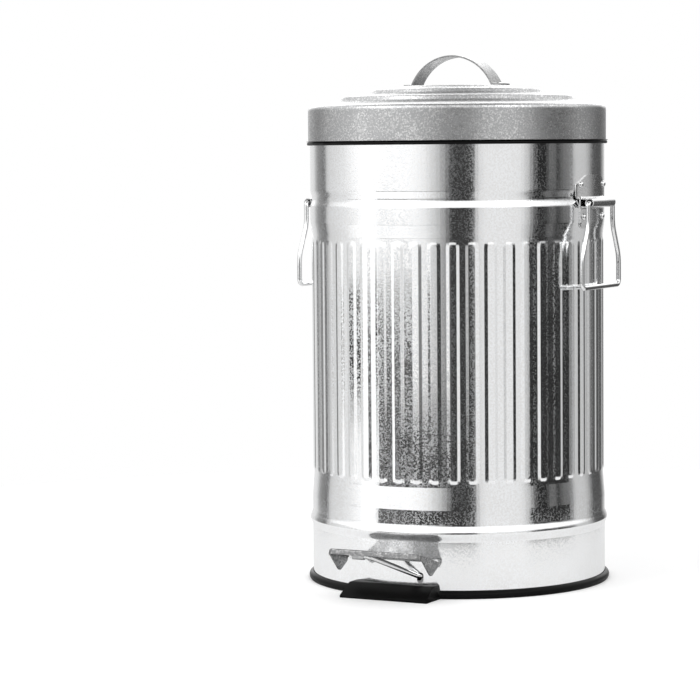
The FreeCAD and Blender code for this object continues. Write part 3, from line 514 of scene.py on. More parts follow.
class Finishes:
    """Every material of the bin.

    Attributes:
        of: each slot's material.
        shaded_pressings: darker copies of the pressed finish for the pedal's plate and the strap,
            by node; the darkening is painted shade, standing in for the dark reflections and shade
            on them.
    """

    def __init__(self) -> None:
        """Builds the shared groups and all the materials."""
        spangle = spangle_group()
        grain = grain_group()
        # name, bright, dull, smooth, rough, clouding, flake, cloud, cover, relief, wave, fleck_tone
        zinc = {
            Slot.WALL: ZincFinish(
                "zinc_wall", 0.92, 0.88, 0.035, 0.17, 0.02, 700.0, 16.0, 0.5, 0.000006, 0.0003, 1.1
            ),
            Slot.LID: ZincFinish(
                "zinc_lid", 0.80, 0.46, 0.27, 0.38, 0.04, 800.0, 20.0, 0.6, 0.00004, 0.0002
            ),
            Slot.PRESSED: ZincFinish(
                "plated_pressing", 0.78, 0.72, 0.12, 0.26, 0.05, 800.0, 30.0, 0.3, 0.000006
            ),
            Slot.WIRE: ZincFinish(
                "bright_wire", 0.86, 0.82, 0.06, 0.14, 0.04, 700.0, 40.0, 0.3, 0.000003
            ),
            Slot.RIVET: ZincFinish(
                "bright_rivet", 0.84, 0.78, 0.10, 0.2, 0.05, 900.0, 60.0, 0.3, 0.000004
            ),
            Slot.LINKAGE: ZincFinish(
                "plated_linkage", 0.62, 0.52, 0.22, 0.38, 0.08, 600.0, 30.0, 0.5, 0.00001
            ),
        }
        # darker copies of the pressed finish: painted shade on the pedal's plate and the strap
        shaded_pressings = {
            "pedal_plate": ZincFinish(
                "pedal_pressing_painted_shade", 0.36, 0.20, 0.24, 0.40, 0.10, 500.0, 45.0, 0.55, 0.00002
            ),
            "lid_handle": ZincFinish(
                "strap_pressing_painted_shade", 0.42, 0.28, 0.20, 0.32, 0.06, 600.0, 40.0, 0.5, 0.00001
            ),
        }
        self.shaded_pressings = {node: finish.make(spangle) for node, finish in shaded_pressings.items()}
        # name, level, roughness, spread, grain, relief, shine
        plastic = {
            Slot.PLASTIC: PlasticFinish(
                "black_moulding", 0.0025, 0.42, 0.10, 1500.0, 0.00003, 0.09
            ),
            Slot.RUBBER: PlasticFinish("black_gasket", 0.003, 0.55, 0.10, 2500.0, 0.00002, 0.05),
            Slot.BUCKET: PlasticFinish("bucket_moulding", 0.018, 0.38, 0.12, 900.0, 0.00003),
        }
        self.of = {slot: finish.make(spangle) for slot, finish in zinc.items()}
        self.of.update({slot: finish.make(grain) for slot, finish in plastic.items()})


# -------- modelling tools
def clear_selection() -> None:
    """Leaves edit mode and deselects everything."""
    if bpy.context.object and bpy.context.object.mode != "OBJECT":
        bpy.ops.object.mode_set(mode="OBJECT")
    bpy.ops.object.select_all(action="DESELECT")


def select_only(piece: Object) -> None:
    """Selects one object and makes it the active one."""
    clear_selection()
    piece.select_set(True)
    bpy.context.view_layer.objects.active = piece


def apply_modifiers(piece: Object) -> None:
    """Applies every modifier of a piece, in order."""
    select_only(piece)
    for modifier in list(piece.modifiers):
        bpy.ops.object.modifier_apply(modifier=modifier.name)


def call_it(piece: Object, name: str) -> None:
    """Names a piece and its mesh."""
    piece.name = name
    piece.data.name = name


def thicken(piece: Object, sheet: float) -> None:
    """Gives a surface the thickness of its sheet, inwards.

    Args:
        piece: the surface.
        sheet: thickness of the sheet.
    """
    solid = piece.modifiers.new("sheet", "SOLIDIFY")
    solid.thickness = sheet
    solid.offset = -1.0
    solid.use_even_offset = True
    apply_modifiers(piece)


def edit_all() -> None:
    """Starts to edit the active piece, with all of it selected."""
    bpy.ops.object.mode_set(mode="EDIT")
    bpy.ops.mesh.select_all(action="SELECT")


def close_mesh(threshold: float) -> None:
    """Merges the doubles of the mesh being edited, turns its faces outwards and ends the edit.

    Args:
        threshold: points this near to each other, in metres, are merged.
    """
    bpy.ops.mesh.select_all(action="SELECT")
    bpy.ops.mesh.remove_doubles(threshold=threshold)
    bpy.ops.mesh.normals_make_consistent(inside=False)
    bpy.ops.object.mode_set(mode="OBJECT")


def smooth(piece: Object, degrees: float = 35.0) -> None:
    """Shades a piece smooth but keeps its large faces flat.

    Args:
        piece: the piece to shade.
        degrees: faces that meet at more than this angle keep a crease.
    """
    select_only(piece)
    bpy.ops.object.shade_smooth_by_angle(angle=math.radians(degrees))
    weighted = piece.modifiers.new("weighted", "WEIGHTED_NORMAL")
    weighted.mode = "FACE_AREA_WITH_ANGLE"
    weighted.keep_sharp = True
    apply_modifiers(piece)


def merged_copy(node: str, name: str) -> Object:
    """Copy of a CAD node as one joined mesh, its doubles merged.

    Args:
        node: the CAD node.
        name: name of the copy.

    Returns:
        The new object, at the origin.
    """
    source = bpy.data.objects[node]
    copy = source.copy()
    copy.data = source.data.copy()
    call_it(copy, name)
    copy.data.materials.clear()
    for key in list(copy.keys()):
        del copy[key]
    bpy.context.scene.collection.objects.link(copy)
    copy.parent = None
    copy.matrix_world = Matrix.Identity(4)
    select_only(copy)
    edit_all()
    bpy.ops.mesh.remove_doubles(threshold=0.000004)
    bpy.ops.object.mode_set(mode="OBJECT")
    return copy


def turned_profile(name: str, profile: Outline, steps: int) -> Object:
    """Sheet of revolution about the can's axis, made by extruding a point and spinning it.

    Args:
        name: name of the piece.
        profile: (radius, height) points in metres.
        steps: columns round the axis.

    Returns:
        The new object, at the origin, with its faces pointing outwards.
    """
    clear_selection()
    bpy.ops.mesh.primitive_plane_add(size=0.01, location=(0, 0, 0))
    piece = bpy.context.object
    call_it(piece, name)
    edit_all()
    bpy.ops.mesh.merge(type="CENTER")
    bpy.ops.transform.translate(value=(profile[0][0], 0, profile[0][1]))
    for (radius, height), (next_radius, next_height) in zip(profile, profile[1:]):
        step = (next_radius - radius, 0, next_height - height)
        bpy.ops.mesh.extrude_vertices_move(TRANSFORM_OT_translate={"value": step})
    bpy.ops.mesh.select_all(action="SELECT")
    bpy.ops.mesh.spin(steps=steps, angle=math.tau, center=(0, 0, 0), axis=(0, 0, 1))
    close_mesh(0.000005)
    return piece


def eased(start: Point, end: Point) -> Outline:
    """Cone between two (radius, height) points, with a slight bend at each end.

    Args:
        start: first point.
        end: last point.

    Returns:
        The points after the start.
    """
    points = []
    bend = 0.02
    for part in (bend, 1 - bend, 1.0):
        blend = part * part * (3 - 2 * part)
        points.append(
            (start[0] + (end[0] - start[0]) * blend, start[1] + (end[1] - start[1]) * part)
        )
    return points


def swell(
    radius: float, middle: float, width: float, height: float, straightness: float = 0.0
) -> Outline:
    """Bead or groove pressed in a plain wall, with a row beside each edge.

    Args:
        radius: radius of the wall.
        middle: height of the bead's centre.
        width: width of the bead.
        height: how far it stands out; negative for a groove.
        straightness: 0 for rounded flanks, 1 for straight ones.

    Returns:
        (radius, height) points from below its lower edge to above its upper edge.
    """
    count = 10
    margin = 0.8 * MM
    fullness, crest = 0.8, 1.25  # less than 1 fills the rounded form, more than 1 the straight one
    points = [(radius, middle - width / 2 - margin)]
    for index in range(count + 1):
        part = index / count
        rounded = (0.5 - 0.5 * math.cos(math.tau * part)) ** fullness
        straight = 1 - abs(2 * part - 1) ** crest
        lift = rounded + (straight - rounded) * straightness
        points.append((radius + height * lift, middle + (part - 0.5) * width))
    points.append((radius, middle + width / 2 + margin))
    return points


def round_corner(
    before: Point,
    corner: Point,
    after: Point,
    size: float,
    count: int,
) -> Outline:
    """Rounds one corner of an outline with a curve that is tangent to both sides.

    Args:
        before: point before the corner.
        corner: the corner.
        after: point after the corner.
        size: how far along each side the curve starts.
        count: number of steps.

    Returns:
        Points of the curve.
    """
    middle = Vector(corner)
    start = middle + (Vector(before) - middle).normalized() * size
    end = middle + (Vector(after) - middle).normalized() * size
    points = []
    for index in range(count + 1):
        part = index / count
        point = start.lerp(middle, part).lerp(middle.lerp(end, part), part)
        points.append((point.x, point.y))
    return points


def softened(
    outline: Outline, sizes: dict[int, float], count: int = 6
) -> Outline:
    """Rounds the named corners of an open outline.

    Args:
        outline: its points.
        sizes: index of each corner to round, and how far its curve starts from it.
        count: steps in each curve.

    Returns:
        The outline with its rounded corners.
    """
    points = []
    for index, corner in enumerate(outline):
        if index in sizes:
            points += round_corner(
                outline[index - 1], corner, outline[index + 1], sizes[index], count
            )
        else:
            points.append(corner)
    return points


def bend_wire(
    name: str,
    radius: float,
    route: list[Vector],
    bends: list[float],
    sides: int = 24,
    bend_steps: int = 10,
) -> Object:
    """Round wire, drawn straight and spun about the centre of each bend.

    Args:
        name: name of the piece.
        radius: radius of the wire.
        route: its corners, in metres.
        bends: bend radius at each inner corner.
        sides: columns round the wire.
        bend_steps: steps in each bend.

    Returns:
        The new object, at the origin, closed at both ends.
    """
    clear_selection()
    ahead = (route[1] - route[0]).normalized()
    bpy.ops.mesh.primitive_circle_add(
        vertices=sides,
        radius=radius,
        fill_type="NGON",
        location=route[0],
        rotation=ahead.to_track_quat("Z", "Y").to_euler(),
    )
    piece = bpy.context.object
    call_it(piece, name)
    bpy.ops.object.transform_apply(location=True, rotation=True, scale=True)
    edit_all()
    here = route[0].copy()
    for before, corner, after, bend in zip(route, route[1:], route[2:], bends):
        coming = (corner - before).normalized()
        going = (after - corner).normalized()
        turn = coming.angle(going)
        reach = bend * math.tan(turn / 2)
        start = corner - coming * reach
        axis = coming.cross(going).normalized()
        centre = start + axis.cross(coming) * bend
        bpy.ops.mesh.extrude_region_move(TRANSFORM_OT_translate={"value": start - here})
        bpy.ops.mesh.spin(steps=bend_steps, angle=-turn, center=centre, axis=axis)
        here = corner + going * reach
    bpy.ops.mesh.extrude_region_move(TRANSFORM_OT_translate={"value": route[-1] - here})
    close_mesh(0.000002)
    return piece


@dataclass
class Workshop:
    """Dresses pieces and puts them on their bodies.

    Attributes:
        finishes: all the materials.
    """

    finishes: Finishes

    def fit(
        self, piece: Object, body: Body, slot: Slot, *nodes: str
    ) -> Object:
        """Gives a new piece its finish, its body and the CAD nodes that it stands for.

        Args:
            piece: the new object.
            body: the body it rides on.
            slot: its material slot.
            nodes: CAD nodes that it replaces.

        Returns:
            The same object.
        """
        piece.data.materials.clear()
        piece.data.materials.append(self.finishes.of[slot])
        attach(piece, body.value)
        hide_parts(*nodes)
        LOG.info("%s rides on %s, %d faces", piece.name, body.value, len(piece.data.polygons))
        return piece

    def polish(self, node: str, body: Body, slot: Slot, angle: float = 35.0) -> Object:
        """Replaces a CAD node with a joined, smoothly shaded copy of itself."""
        copy = merged_copy(node, node + "_finished")
        smooth(copy, angle)
        return self.fit(copy, body, slot, node)

    def polish_all(self, nodes: list[str], body: Body, slot: Slot, angle: float = 35.0) -> None:
        """Replaces several CAD nodes of one body in the same way."""
        for node in nodes:
            self.polish(node, body, slot, angle)


# -------- sub-assemblies
@dataclass
class CanWall:
    """The can's fluted wall.

    Attributes:
        radius: outside radius of the plain bands.
        sheet: thickness of the sheet.
        foot, top: lower and upper edge above the floor.
        bead, bead_width, bead_height: the raised bead's middle, width and rise.
        groove, groove_width, groove_depth: the groove's middle, width and depth.
        flute_low, flute_high: lower and upper tip of the flutes.
        flute_lead: recessed band past each tip.
        lower_cone, upper_cone: height of the cones beside the recessed band.
        flute_width, flute_height: width and rise of one flute.
        flute_side: width of its sloping side, outside its flat crest.
        tip_power: 2 for tips that are half circles, more for blunter ones.
        least_share: a point that the press lifts by less than this share stays.
        recess_depth: how far the band that the flutes stand on is set in.
        flutes: number of flutes.
        flute_turn: how far they are turned about the can's axis, in degrees.
        columns: mesh columns to one flute pitch.
        column_places: each column's place, from a crest's middle to the middle between two.
        tip_rows: each mesh row's distance past a flute's tip, in mm.
        seam_bearing: bearing of the lap seam from +X, in degrees.
        seam_width, seam_height: width and rise of the lap.
        seam_foot, seam_margin: lower end of the lap, and plain sheet above it.
        slot_x, slot_z: middle of the pedal's slot, from the middle plane and the floor.
        slot_width, slot_height: width of the slot, and its height over its round ends.
    """

    radius: float = 146 * MM
    sheet: float = 0.6 * MM
    foot: float = 2.8 * MM
    top: float = 432 * MM
    bead: float = 62 * MM
    bead_width: float = 15 * MM
    bead_height: float = 2.3 * MM
    groove: float = 379.8 * MM
    groove_width: float = 15 * MM
    groove_depth: float = 1.7 * MM
    flute_low: float = 109 * MM
    flute_high: float = 340 * MM
    flute_lead: float = 3 * MM
    lower_cone: float = 22 * MM
    upper_cone: float = 13 * MM
    flute_width: float = 12.7 * MM
    flute_side: float = 3.1 * MM
    flute_height: float = 0.58 * MM
    tip_power: float = 2.2
    least_share: float = 0.002
    recess_depth: float = 1.6 * MM
    flutes: int = 50
    flute_turn: float = 1.6
    columns: int = 16
    column_places: tuple[float, ...] = (0.0, 0.22, 0.32, 0.36, 0.40, 0.66, 0.70, 0.745, 1.0)
    tip_rows: tuple[float, ...] = (-1.0, 0.0, 0.7, 1.4, 2.1, 2.8, 3.5, 4.5, 5.6, 6.7, 8.5)
    seam_bearing: float = 109.6
    seam_width: float = 6 * MM
    seam_height: float = 0.7 * MM
    seam_foot: float = 11 * MM
    seam_margin: float = 0.5 * MM
    slot_x: float = 26 * MM
    slot_z: float = 19.65 * MM
    slot_width: float = 6.4 * MM
    slot_height: float = 10.2 * MM

    @property
    def recess(self) -> float:
        """Radius of the band that the flutes stand on."""
        return self.radius - self.recess_depth

    def profile(self) -> Outline:
        """Outline of the wall from its foot to its upper edge."""
        radius, recess = self.radius, self.recess
        low, high = self.flute_low, self.flute_high
        below_slot = 10 * MM
        points = [(radius, self.foot), (radius, below_slot)]
        points += swell(radius, self.bead, self.bead_width, self.bead_height)
        points += [(radius, low - self.flute_lead - self.lower_cone)]
        points += eased(points[-1], (recess, low - self.flute_lead))
        points += [(recess, low + row * MM) for row in self.tip_rows]
        points += [(recess, (low + high) / 2)]
        points += [(recess, high - row * MM) for row in reversed(self.tip_rows)]
        points += [(recess, high + self.flute_lead)]
        points += eased(points[-1], (radius, high + self.flute_lead + self.upper_cone))
        points += swell(radius, self.groove, self.groove_width, -self.groove_depth, 0.8)
        points += [(radius, self.top)]
        return points

    def flute_share(self, place: Vector) -> float:
        """How far the flute's press has lifted a point of the wall.

        Args:
            place: the point.

        Returns:
            0 on the plain band to 1 on a flute's flat crest.
        """
        half = self.flute_width / 2
        pitch = math.tau / self.flutes
        bearing = math.atan2(place.y, place.x) - math.radians(self.flute_turn)
        aside = abs(bearing % pitch - pitch / 2) * self.recess
        past = max(self.flute_low + half - place.z, place.z - self.flute_high + half, 0.0)
        away = (aside**self.tip_power + past**self.tip_power) ** (1 / self.tip_power)
        return min(max((half - away) / self.flute_side, 0.0), 1.0)

    def gather(self, wall: Object) -> None:
        """Draws the evenly spun columns together at the flutes' sides.

        Args:
            wall: the plain wall.
        """
        pitch = math.tau / self.flutes
        for vertex in wall.data.vertices:
            bearing = math.atan2(vertex.co.y, vertex.co.x) % math.tau
            column = round(bearing / pitch * self.columns)
            flute, aside = divmod(column, self.columns)
            aside -= self.columns // 2
            place = math.copysign(self.column_places[abs(aside)], aside) / 2
            turn = (flute + 0.5 + place) * pitch + math.radians(self.flute_turn)
            reach = math.hypot(vertex.co.x, vertex.co.y)
            vertex.co.x, vertex.co.y = reach * math.cos(turn), reach * math.sin(turn)

    def press(self, wall: Object) -> None:
        """Presses the flutes and the lap seam into the plain wall.

        Args:
            wall: the wall with its gathered columns.
        """
        flute = wall.vertex_groups.new(name="flutes")
        seam = wall.vertex_groups.new(name="seam")
        past = self.flute_lead / 2
        low, high = self.flute_low - past, self.flute_high + past
        half_seam = math.degrees(self.seam_width / 2 / self.radius)
        for vertex in wall.data.vertices:
            if low < vertex.co.z < high:
                share = self.flute_share(vertex.co)
                if share > self.least_share:
                    flute.add([vertex.index], share, "REPLACE")
            bearing = math.degrees(math.atan2(vertex.co.y, vertex.co.x))
            upright = self.seam_foot < vertex.co.z < self.top - self.seam_margin
            if upright and abs(bearing - self.seam_bearing) < half_seam:
                seam.add([vertex.index], 1.0, "REPLACE")
        for group, height in (("flutes", self.flute_height), ("seam", self.seam_height)):
            press = wall.modifiers.new(group, "DISPLACE")
            press.vertex_group = group
            press.strength = height
            press.mid_level = 0.0
        apply_modifiers(wall)

    def build(self, shop: Workshop) -> None:
        """Makes the wall: turned, pressed, given its thickness, and slotted for the pedal.

        Args:
            shop: dresses the wall.
        """
        wall = turned_profile("can_wall", self.profile(), self.flutes * self.columns)
        self.gather(wall)
        self.press(wall)
        thicken(wall, self.sheet)
        self.cut_slot(wall)
        smooth(wall, 80)
        shop.fit(wall, Body.CAN, Slot.WALL, "body_shell")

    def cut_slot(self, wall: Object) -> None:
        """Cuts the upright slot with round ends that the pedal's wire passes through.

        Args:
            wall: the wall with its thickness.
        """
        clear_selection()
        bpy.ops.mesh.primitive_cylinder_add(
            vertices=32,
            radius=self.slot_width / 2,
            depth=30 * MM,
            location=(self.slot_x, -self.radius, self.slot_z),
            rotation=(math.pi / 2, 0, 0),
        )
        cutter = bpy.context.object
        bpy.ops.object.transform_apply(location=True, rotation=True, scale=True)
        straight = (self.slot_height - self.slot_width) / 2
        for vertex in cutter.data.vertices:
            vertex.co.z += math.copysign(straight, vertex.co.z - self.slot_z)
        cut = wall.modifiers.new("slot", "BOOLEAN")
        cut.operation = "DIFFERENCE"
        cut.solver = "EXACT"
        cut.object = cutter
        apply_modifiers(wall)
        bpy.data.objects.remove(cutter)


@dataclass
class Lid:
    """The lid's pressed sheet and the gasket under its edge.

    Attributes:
        radius: outside radius of the skirt.
        sheet: thickness of the sheet.
        foot, shoulder: height of the skirt's lower edge and of the shoulder.
        corner: how far from its corner the shoulder starts to bend.
        step_radii: upper edge of each step.
        step_width: width of a step, from its foot to its upper edge.
        step_bends: how far from its corner a step's foot and its upper edge start to bend.
        step_heights: rise of each step.
        slopes: climb of the band before each step.
        columns: mesh columns round the lid.
        skirt_rows: mesh rows of the skirt, as shares of its height.
        gasket_low: underside of the gasket.
        gasket_reach, gasket_nose: how far its lip passes the skirt, and how pointed it is.
        gasket_flange, gasket_base: width and height of the gasket inside the skirt.
        gasket_upstand, gasket_wall: height and thickness of the upstand.
        seat_gap, press_gap: from the skirt's edge to the lip, and from the skirt to the upstand.
    """

    radius: float = 147.7 * MM
    sheet: float = 0.6 * MM
    foot: float = 436 * MM
    shoulder: float = 470.4 * MM
    corner: float = 4.95 * MM
    step_radii: tuple[float, ...] = (115 * MM, 84 * MM, 56 * MM)
    step_width: float = 3.2 * MM
    step_bends: tuple[float, float] = (2.6 * MM, 1.3 * MM)
    step_heights: tuple[float, ...] = (6 * MM, 5.2 * MM, 2.4 * MM)
    slopes: tuple[float, ...] = (3 * MM, 1.6 * MM, 1.3 * MM)
    columns: int = 384
    skirt_rows: tuple[float, ...] = (0.04, 0.3, 0.6)
    gasket_low: float = 435.35 * MM
    gasket_reach: float = 1.8 * MM
    gasket_nose: float = 0.4 * MM
    gasket_flange: float = 4 * MM
    gasket_base: float = 3 * MM
    gasket_upstand: float = 8.5 * MM
    gasket_wall: float = 1.7 * MM
    seat_gap: float = 0.05 * MM
    press_gap: float = 0.2 * MM

    def outline(self) -> Outline:
        """Outside of the sheet from the skirt's edge to the middle of the lid."""
        corners = [(self.radius, self.foot), (self.radius, self.shoulder)]
        sizes = {1: self.corner}
        foot_bend, top_bend = self.step_bends
        height = self.shoulder
        for radius, rise, climb in zip(self.step_radii, self.step_heights, self.slopes):
            height += climb
            sizes[len(corners)] = foot_bend
            corners.append((radius + self.step_width, height))
            height += rise
            sizes[len(corners)] = top_bend
            corners.append((radius, height))
        flat_edge = self.step_radii[-1] - 10 * MM
        corners += [(flat_edge, height), (0.0, height)]
        points = softened(corners, sizes, 7)
        skirt_height = self.shoulder - self.foot
        skirt = [(self.radius, self.foot + skirt_height * row) for row in self.skirt_rows]
        return points[:1] + skirt + points[1:]

    def build(self, shop: Workshop) -> None:
        """Makes the lid, turned and given its thickness inwards, and its gasket.

        Args:
            shop: dresses both.
        """
        lid = turned_profile("lid_pressing", self.outline(), self.columns)
        thicken(lid, self.sheet)
        smooth(lid, 40)
        shop.fit(lid, Body.LID, Slot.LID, "lid_shell")
        self.build_gasket(shop)

    def build_gasket(self, shop: Workshop) -> None:
        """Makes the gasket: a thin lip under the skirt's edge and an upstand inside it.

        Args:
            shop: dresses the gasket.
        """
        low, lip = self.gasket_low, self.foot - self.seat_gap
        base, top = low + self.gasket_base, low + self.gasket_upstand
        tip = self.radius + self.gasket_reach
        blunt = tip - self.gasket_nose
        outside = self.radius - self.sheet - self.press_gap
        inside, flange = outside - self.gasket_wall, outside - self.gasket_flange
        section = [
            (flange, low), (blunt, low), (tip, (low + lip) / 2), (blunt, lip), (outside, lip),
            (outside, top), (inside, top), (inside, base), (flange, base),
        ]
        gasket = turned_profile("gasket_ring", section + section[:1], self.columns // 2)
        smooth(gasket, 40)
        shop.fit(gasket, Body.LID, Slot.RUBBER, "lid_gasket")


@dataclass
class SideHandles:
    """The two wire bails, and the brackets and rivets that carry them.

    Attributes:
        wire: radius of the wire.
        out: distance of the wire's plane from the can's axis.
        pivot: height of the bail's hinge axis.
        neck: half the width between the legs at the knuckle.
        foot: half the width between the legs at the bottom.
        neck_drop: where the legs start to spread, below the hinge axis.
        spread_drop: where they are upright again.
        drop: the bottom run, below the hinge axis.
        end_gap: from the middle of the knuckle to each end of the wire.
        bends: bend radius at each corner of half a bail, from the knuckle down.
    """

    wire: float = 2.35 * MM
    out: float = 153.4 * MM
    pivot: float = 374.6 * MM
    neck: float = 31.2 * MM
    foot: float = 47 * MM
    neck_drop: float = 22 * MM
    spread_drop: float = 53 * MM
    drop: float = 81.5 * MM
    end_gap: float = 0.4 * MM
    bends: tuple[float, ...] = (3 * MM, 34 * MM, 34 * MM, 5.5 * MM)

    def route(self, side: int) -> list[Vector]:
        """Corners of one bail's wire, from one end in the knuckle round to the other.

        Args:
            side: 1 for the right bail, -1 for the left one.

        Returns:
            The corners, in metres.
        """
        x, z = side * self.out, self.pivot
        half = [
            (self.end_gap, 0.0),
            (self.neck, 0.0),
            (self.neck, self.neck_drop),
            (self.foot, self.spread_drop),
            (self.foot, self.drop),
        ]
        front = [Vector((x, along, z - down)) for along, down in half]
        back = [Vector((x, -along, z - down)) for along, down in reversed(half)]
        return front + back

    def build(self, shop: Workshop) -> None:
        """Makes both bails and finishes both brackets and their rivets.

        Args:
            shop: dresses them.
        """
        bends = [*self.bends, *reversed(self.bends)]
        sides = ((1, "right", Body.RIGHT_BAIL), (-1, "left", Body.LEFT_BAIL))
        for side, word, body in sides:
            wire = bend_wire("bail_wire_" + word, self.wire, self.route(side), bends)
            smooth(wire, 50)
            shop.fit(wire, body, Slot.WIRE, "bail_" + word)
            shop.polish("handle_bracket_" + word, Body.CAN, Slot.PRESSED)
            rivets = [f"handle_rivet_{word}_{number}" for number in range(1, 5)]
            shop.polish_all(rivets, Body.CAN, Slot.RIVET, 50)


class Fittings:
    """The pieces that keep their CAD shape.

    Attributes:
        polished: (node, body, slot) of each single piece.
        riveted: (name without its number, how many, body) of each set of rivets.
    """

    polished = (
        ("lid_hinge_arm", Body.LID, Slot.PRESSED),
        ("lift_finger", Body.LID, Slot.LINKAGE),
        ("base_ring", Body.CAN, Slot.PLASTIC),
        ("top_collar", Body.CAN, Slot.PLASTIC),
        ("floor_plate", Body.CAN, Slot.WALL),
        ("hinge_bracket", Body.CAN, Slot.PRESSED),
        ("hinge_pin", Body.CAN, Slot.RIVET),
        ("rod_guide", Body.CAN, Slot.LINKAGE),
        ("lever_bracket", Body.CAN, Slot.LINKAGE),
        ("push_rod", Body.LIFT_ROD, Slot.LINKAGE),
        ("push_rod_tip", Body.LIFT_ROD, Slot.PLASTIC),
        ("lift_bar", Body.LIFT_ROD, Slot.LINKAGE),
        ("pedal_clip", Body.PEDAL, Slot.LINKAGE),
        ("pedal_lever", Body.PEDAL, Slot.WIRE),
        ("lever_tip", Body.PEDAL, Slot.PLASTIC),
        ("inner_bucket", Body.BUCKET, Slot.BUCKET),
        ("bucket_handle", Body.BUCKET_BAIL, Slot.WIRE),
    )
    riveted = (
        ("hinge_rivet", 6, Body.CAN),
        ("lever_rivet", 2, Body.CAN),
        ("strap_rivet", 2, Body.LID),
        ("lid_hinge_rivet", 2, Body.LID),
    )

    def build(self, shop: Workshop) -> None:
        """Finishes every one of them, and the pedal's plate and the strap in darker zinc, whose
        darkness is painted shade.

        Args:
            shop: dresses them.
        """
        for node, body, slot in self.polished:
            shop.polish(node, body, slot)
        for name, count, body in self.riveted:
            rivets = [f"{name}_{number}" for number in range(1, count + 1)]
            shop.polish_all(rivets, body, Slot.RIVET, 50)
        for node, body in (("pedal_plate", Body.PEDAL), ("lid_handle", Body.LID)):
            plate = shop.polish(node, body, Slot.PRESSED)
            # the darker zinc on the plate and the strap is painted shade
            plate.data.materials[0] = shop.finishes.shaded_pressings[node]


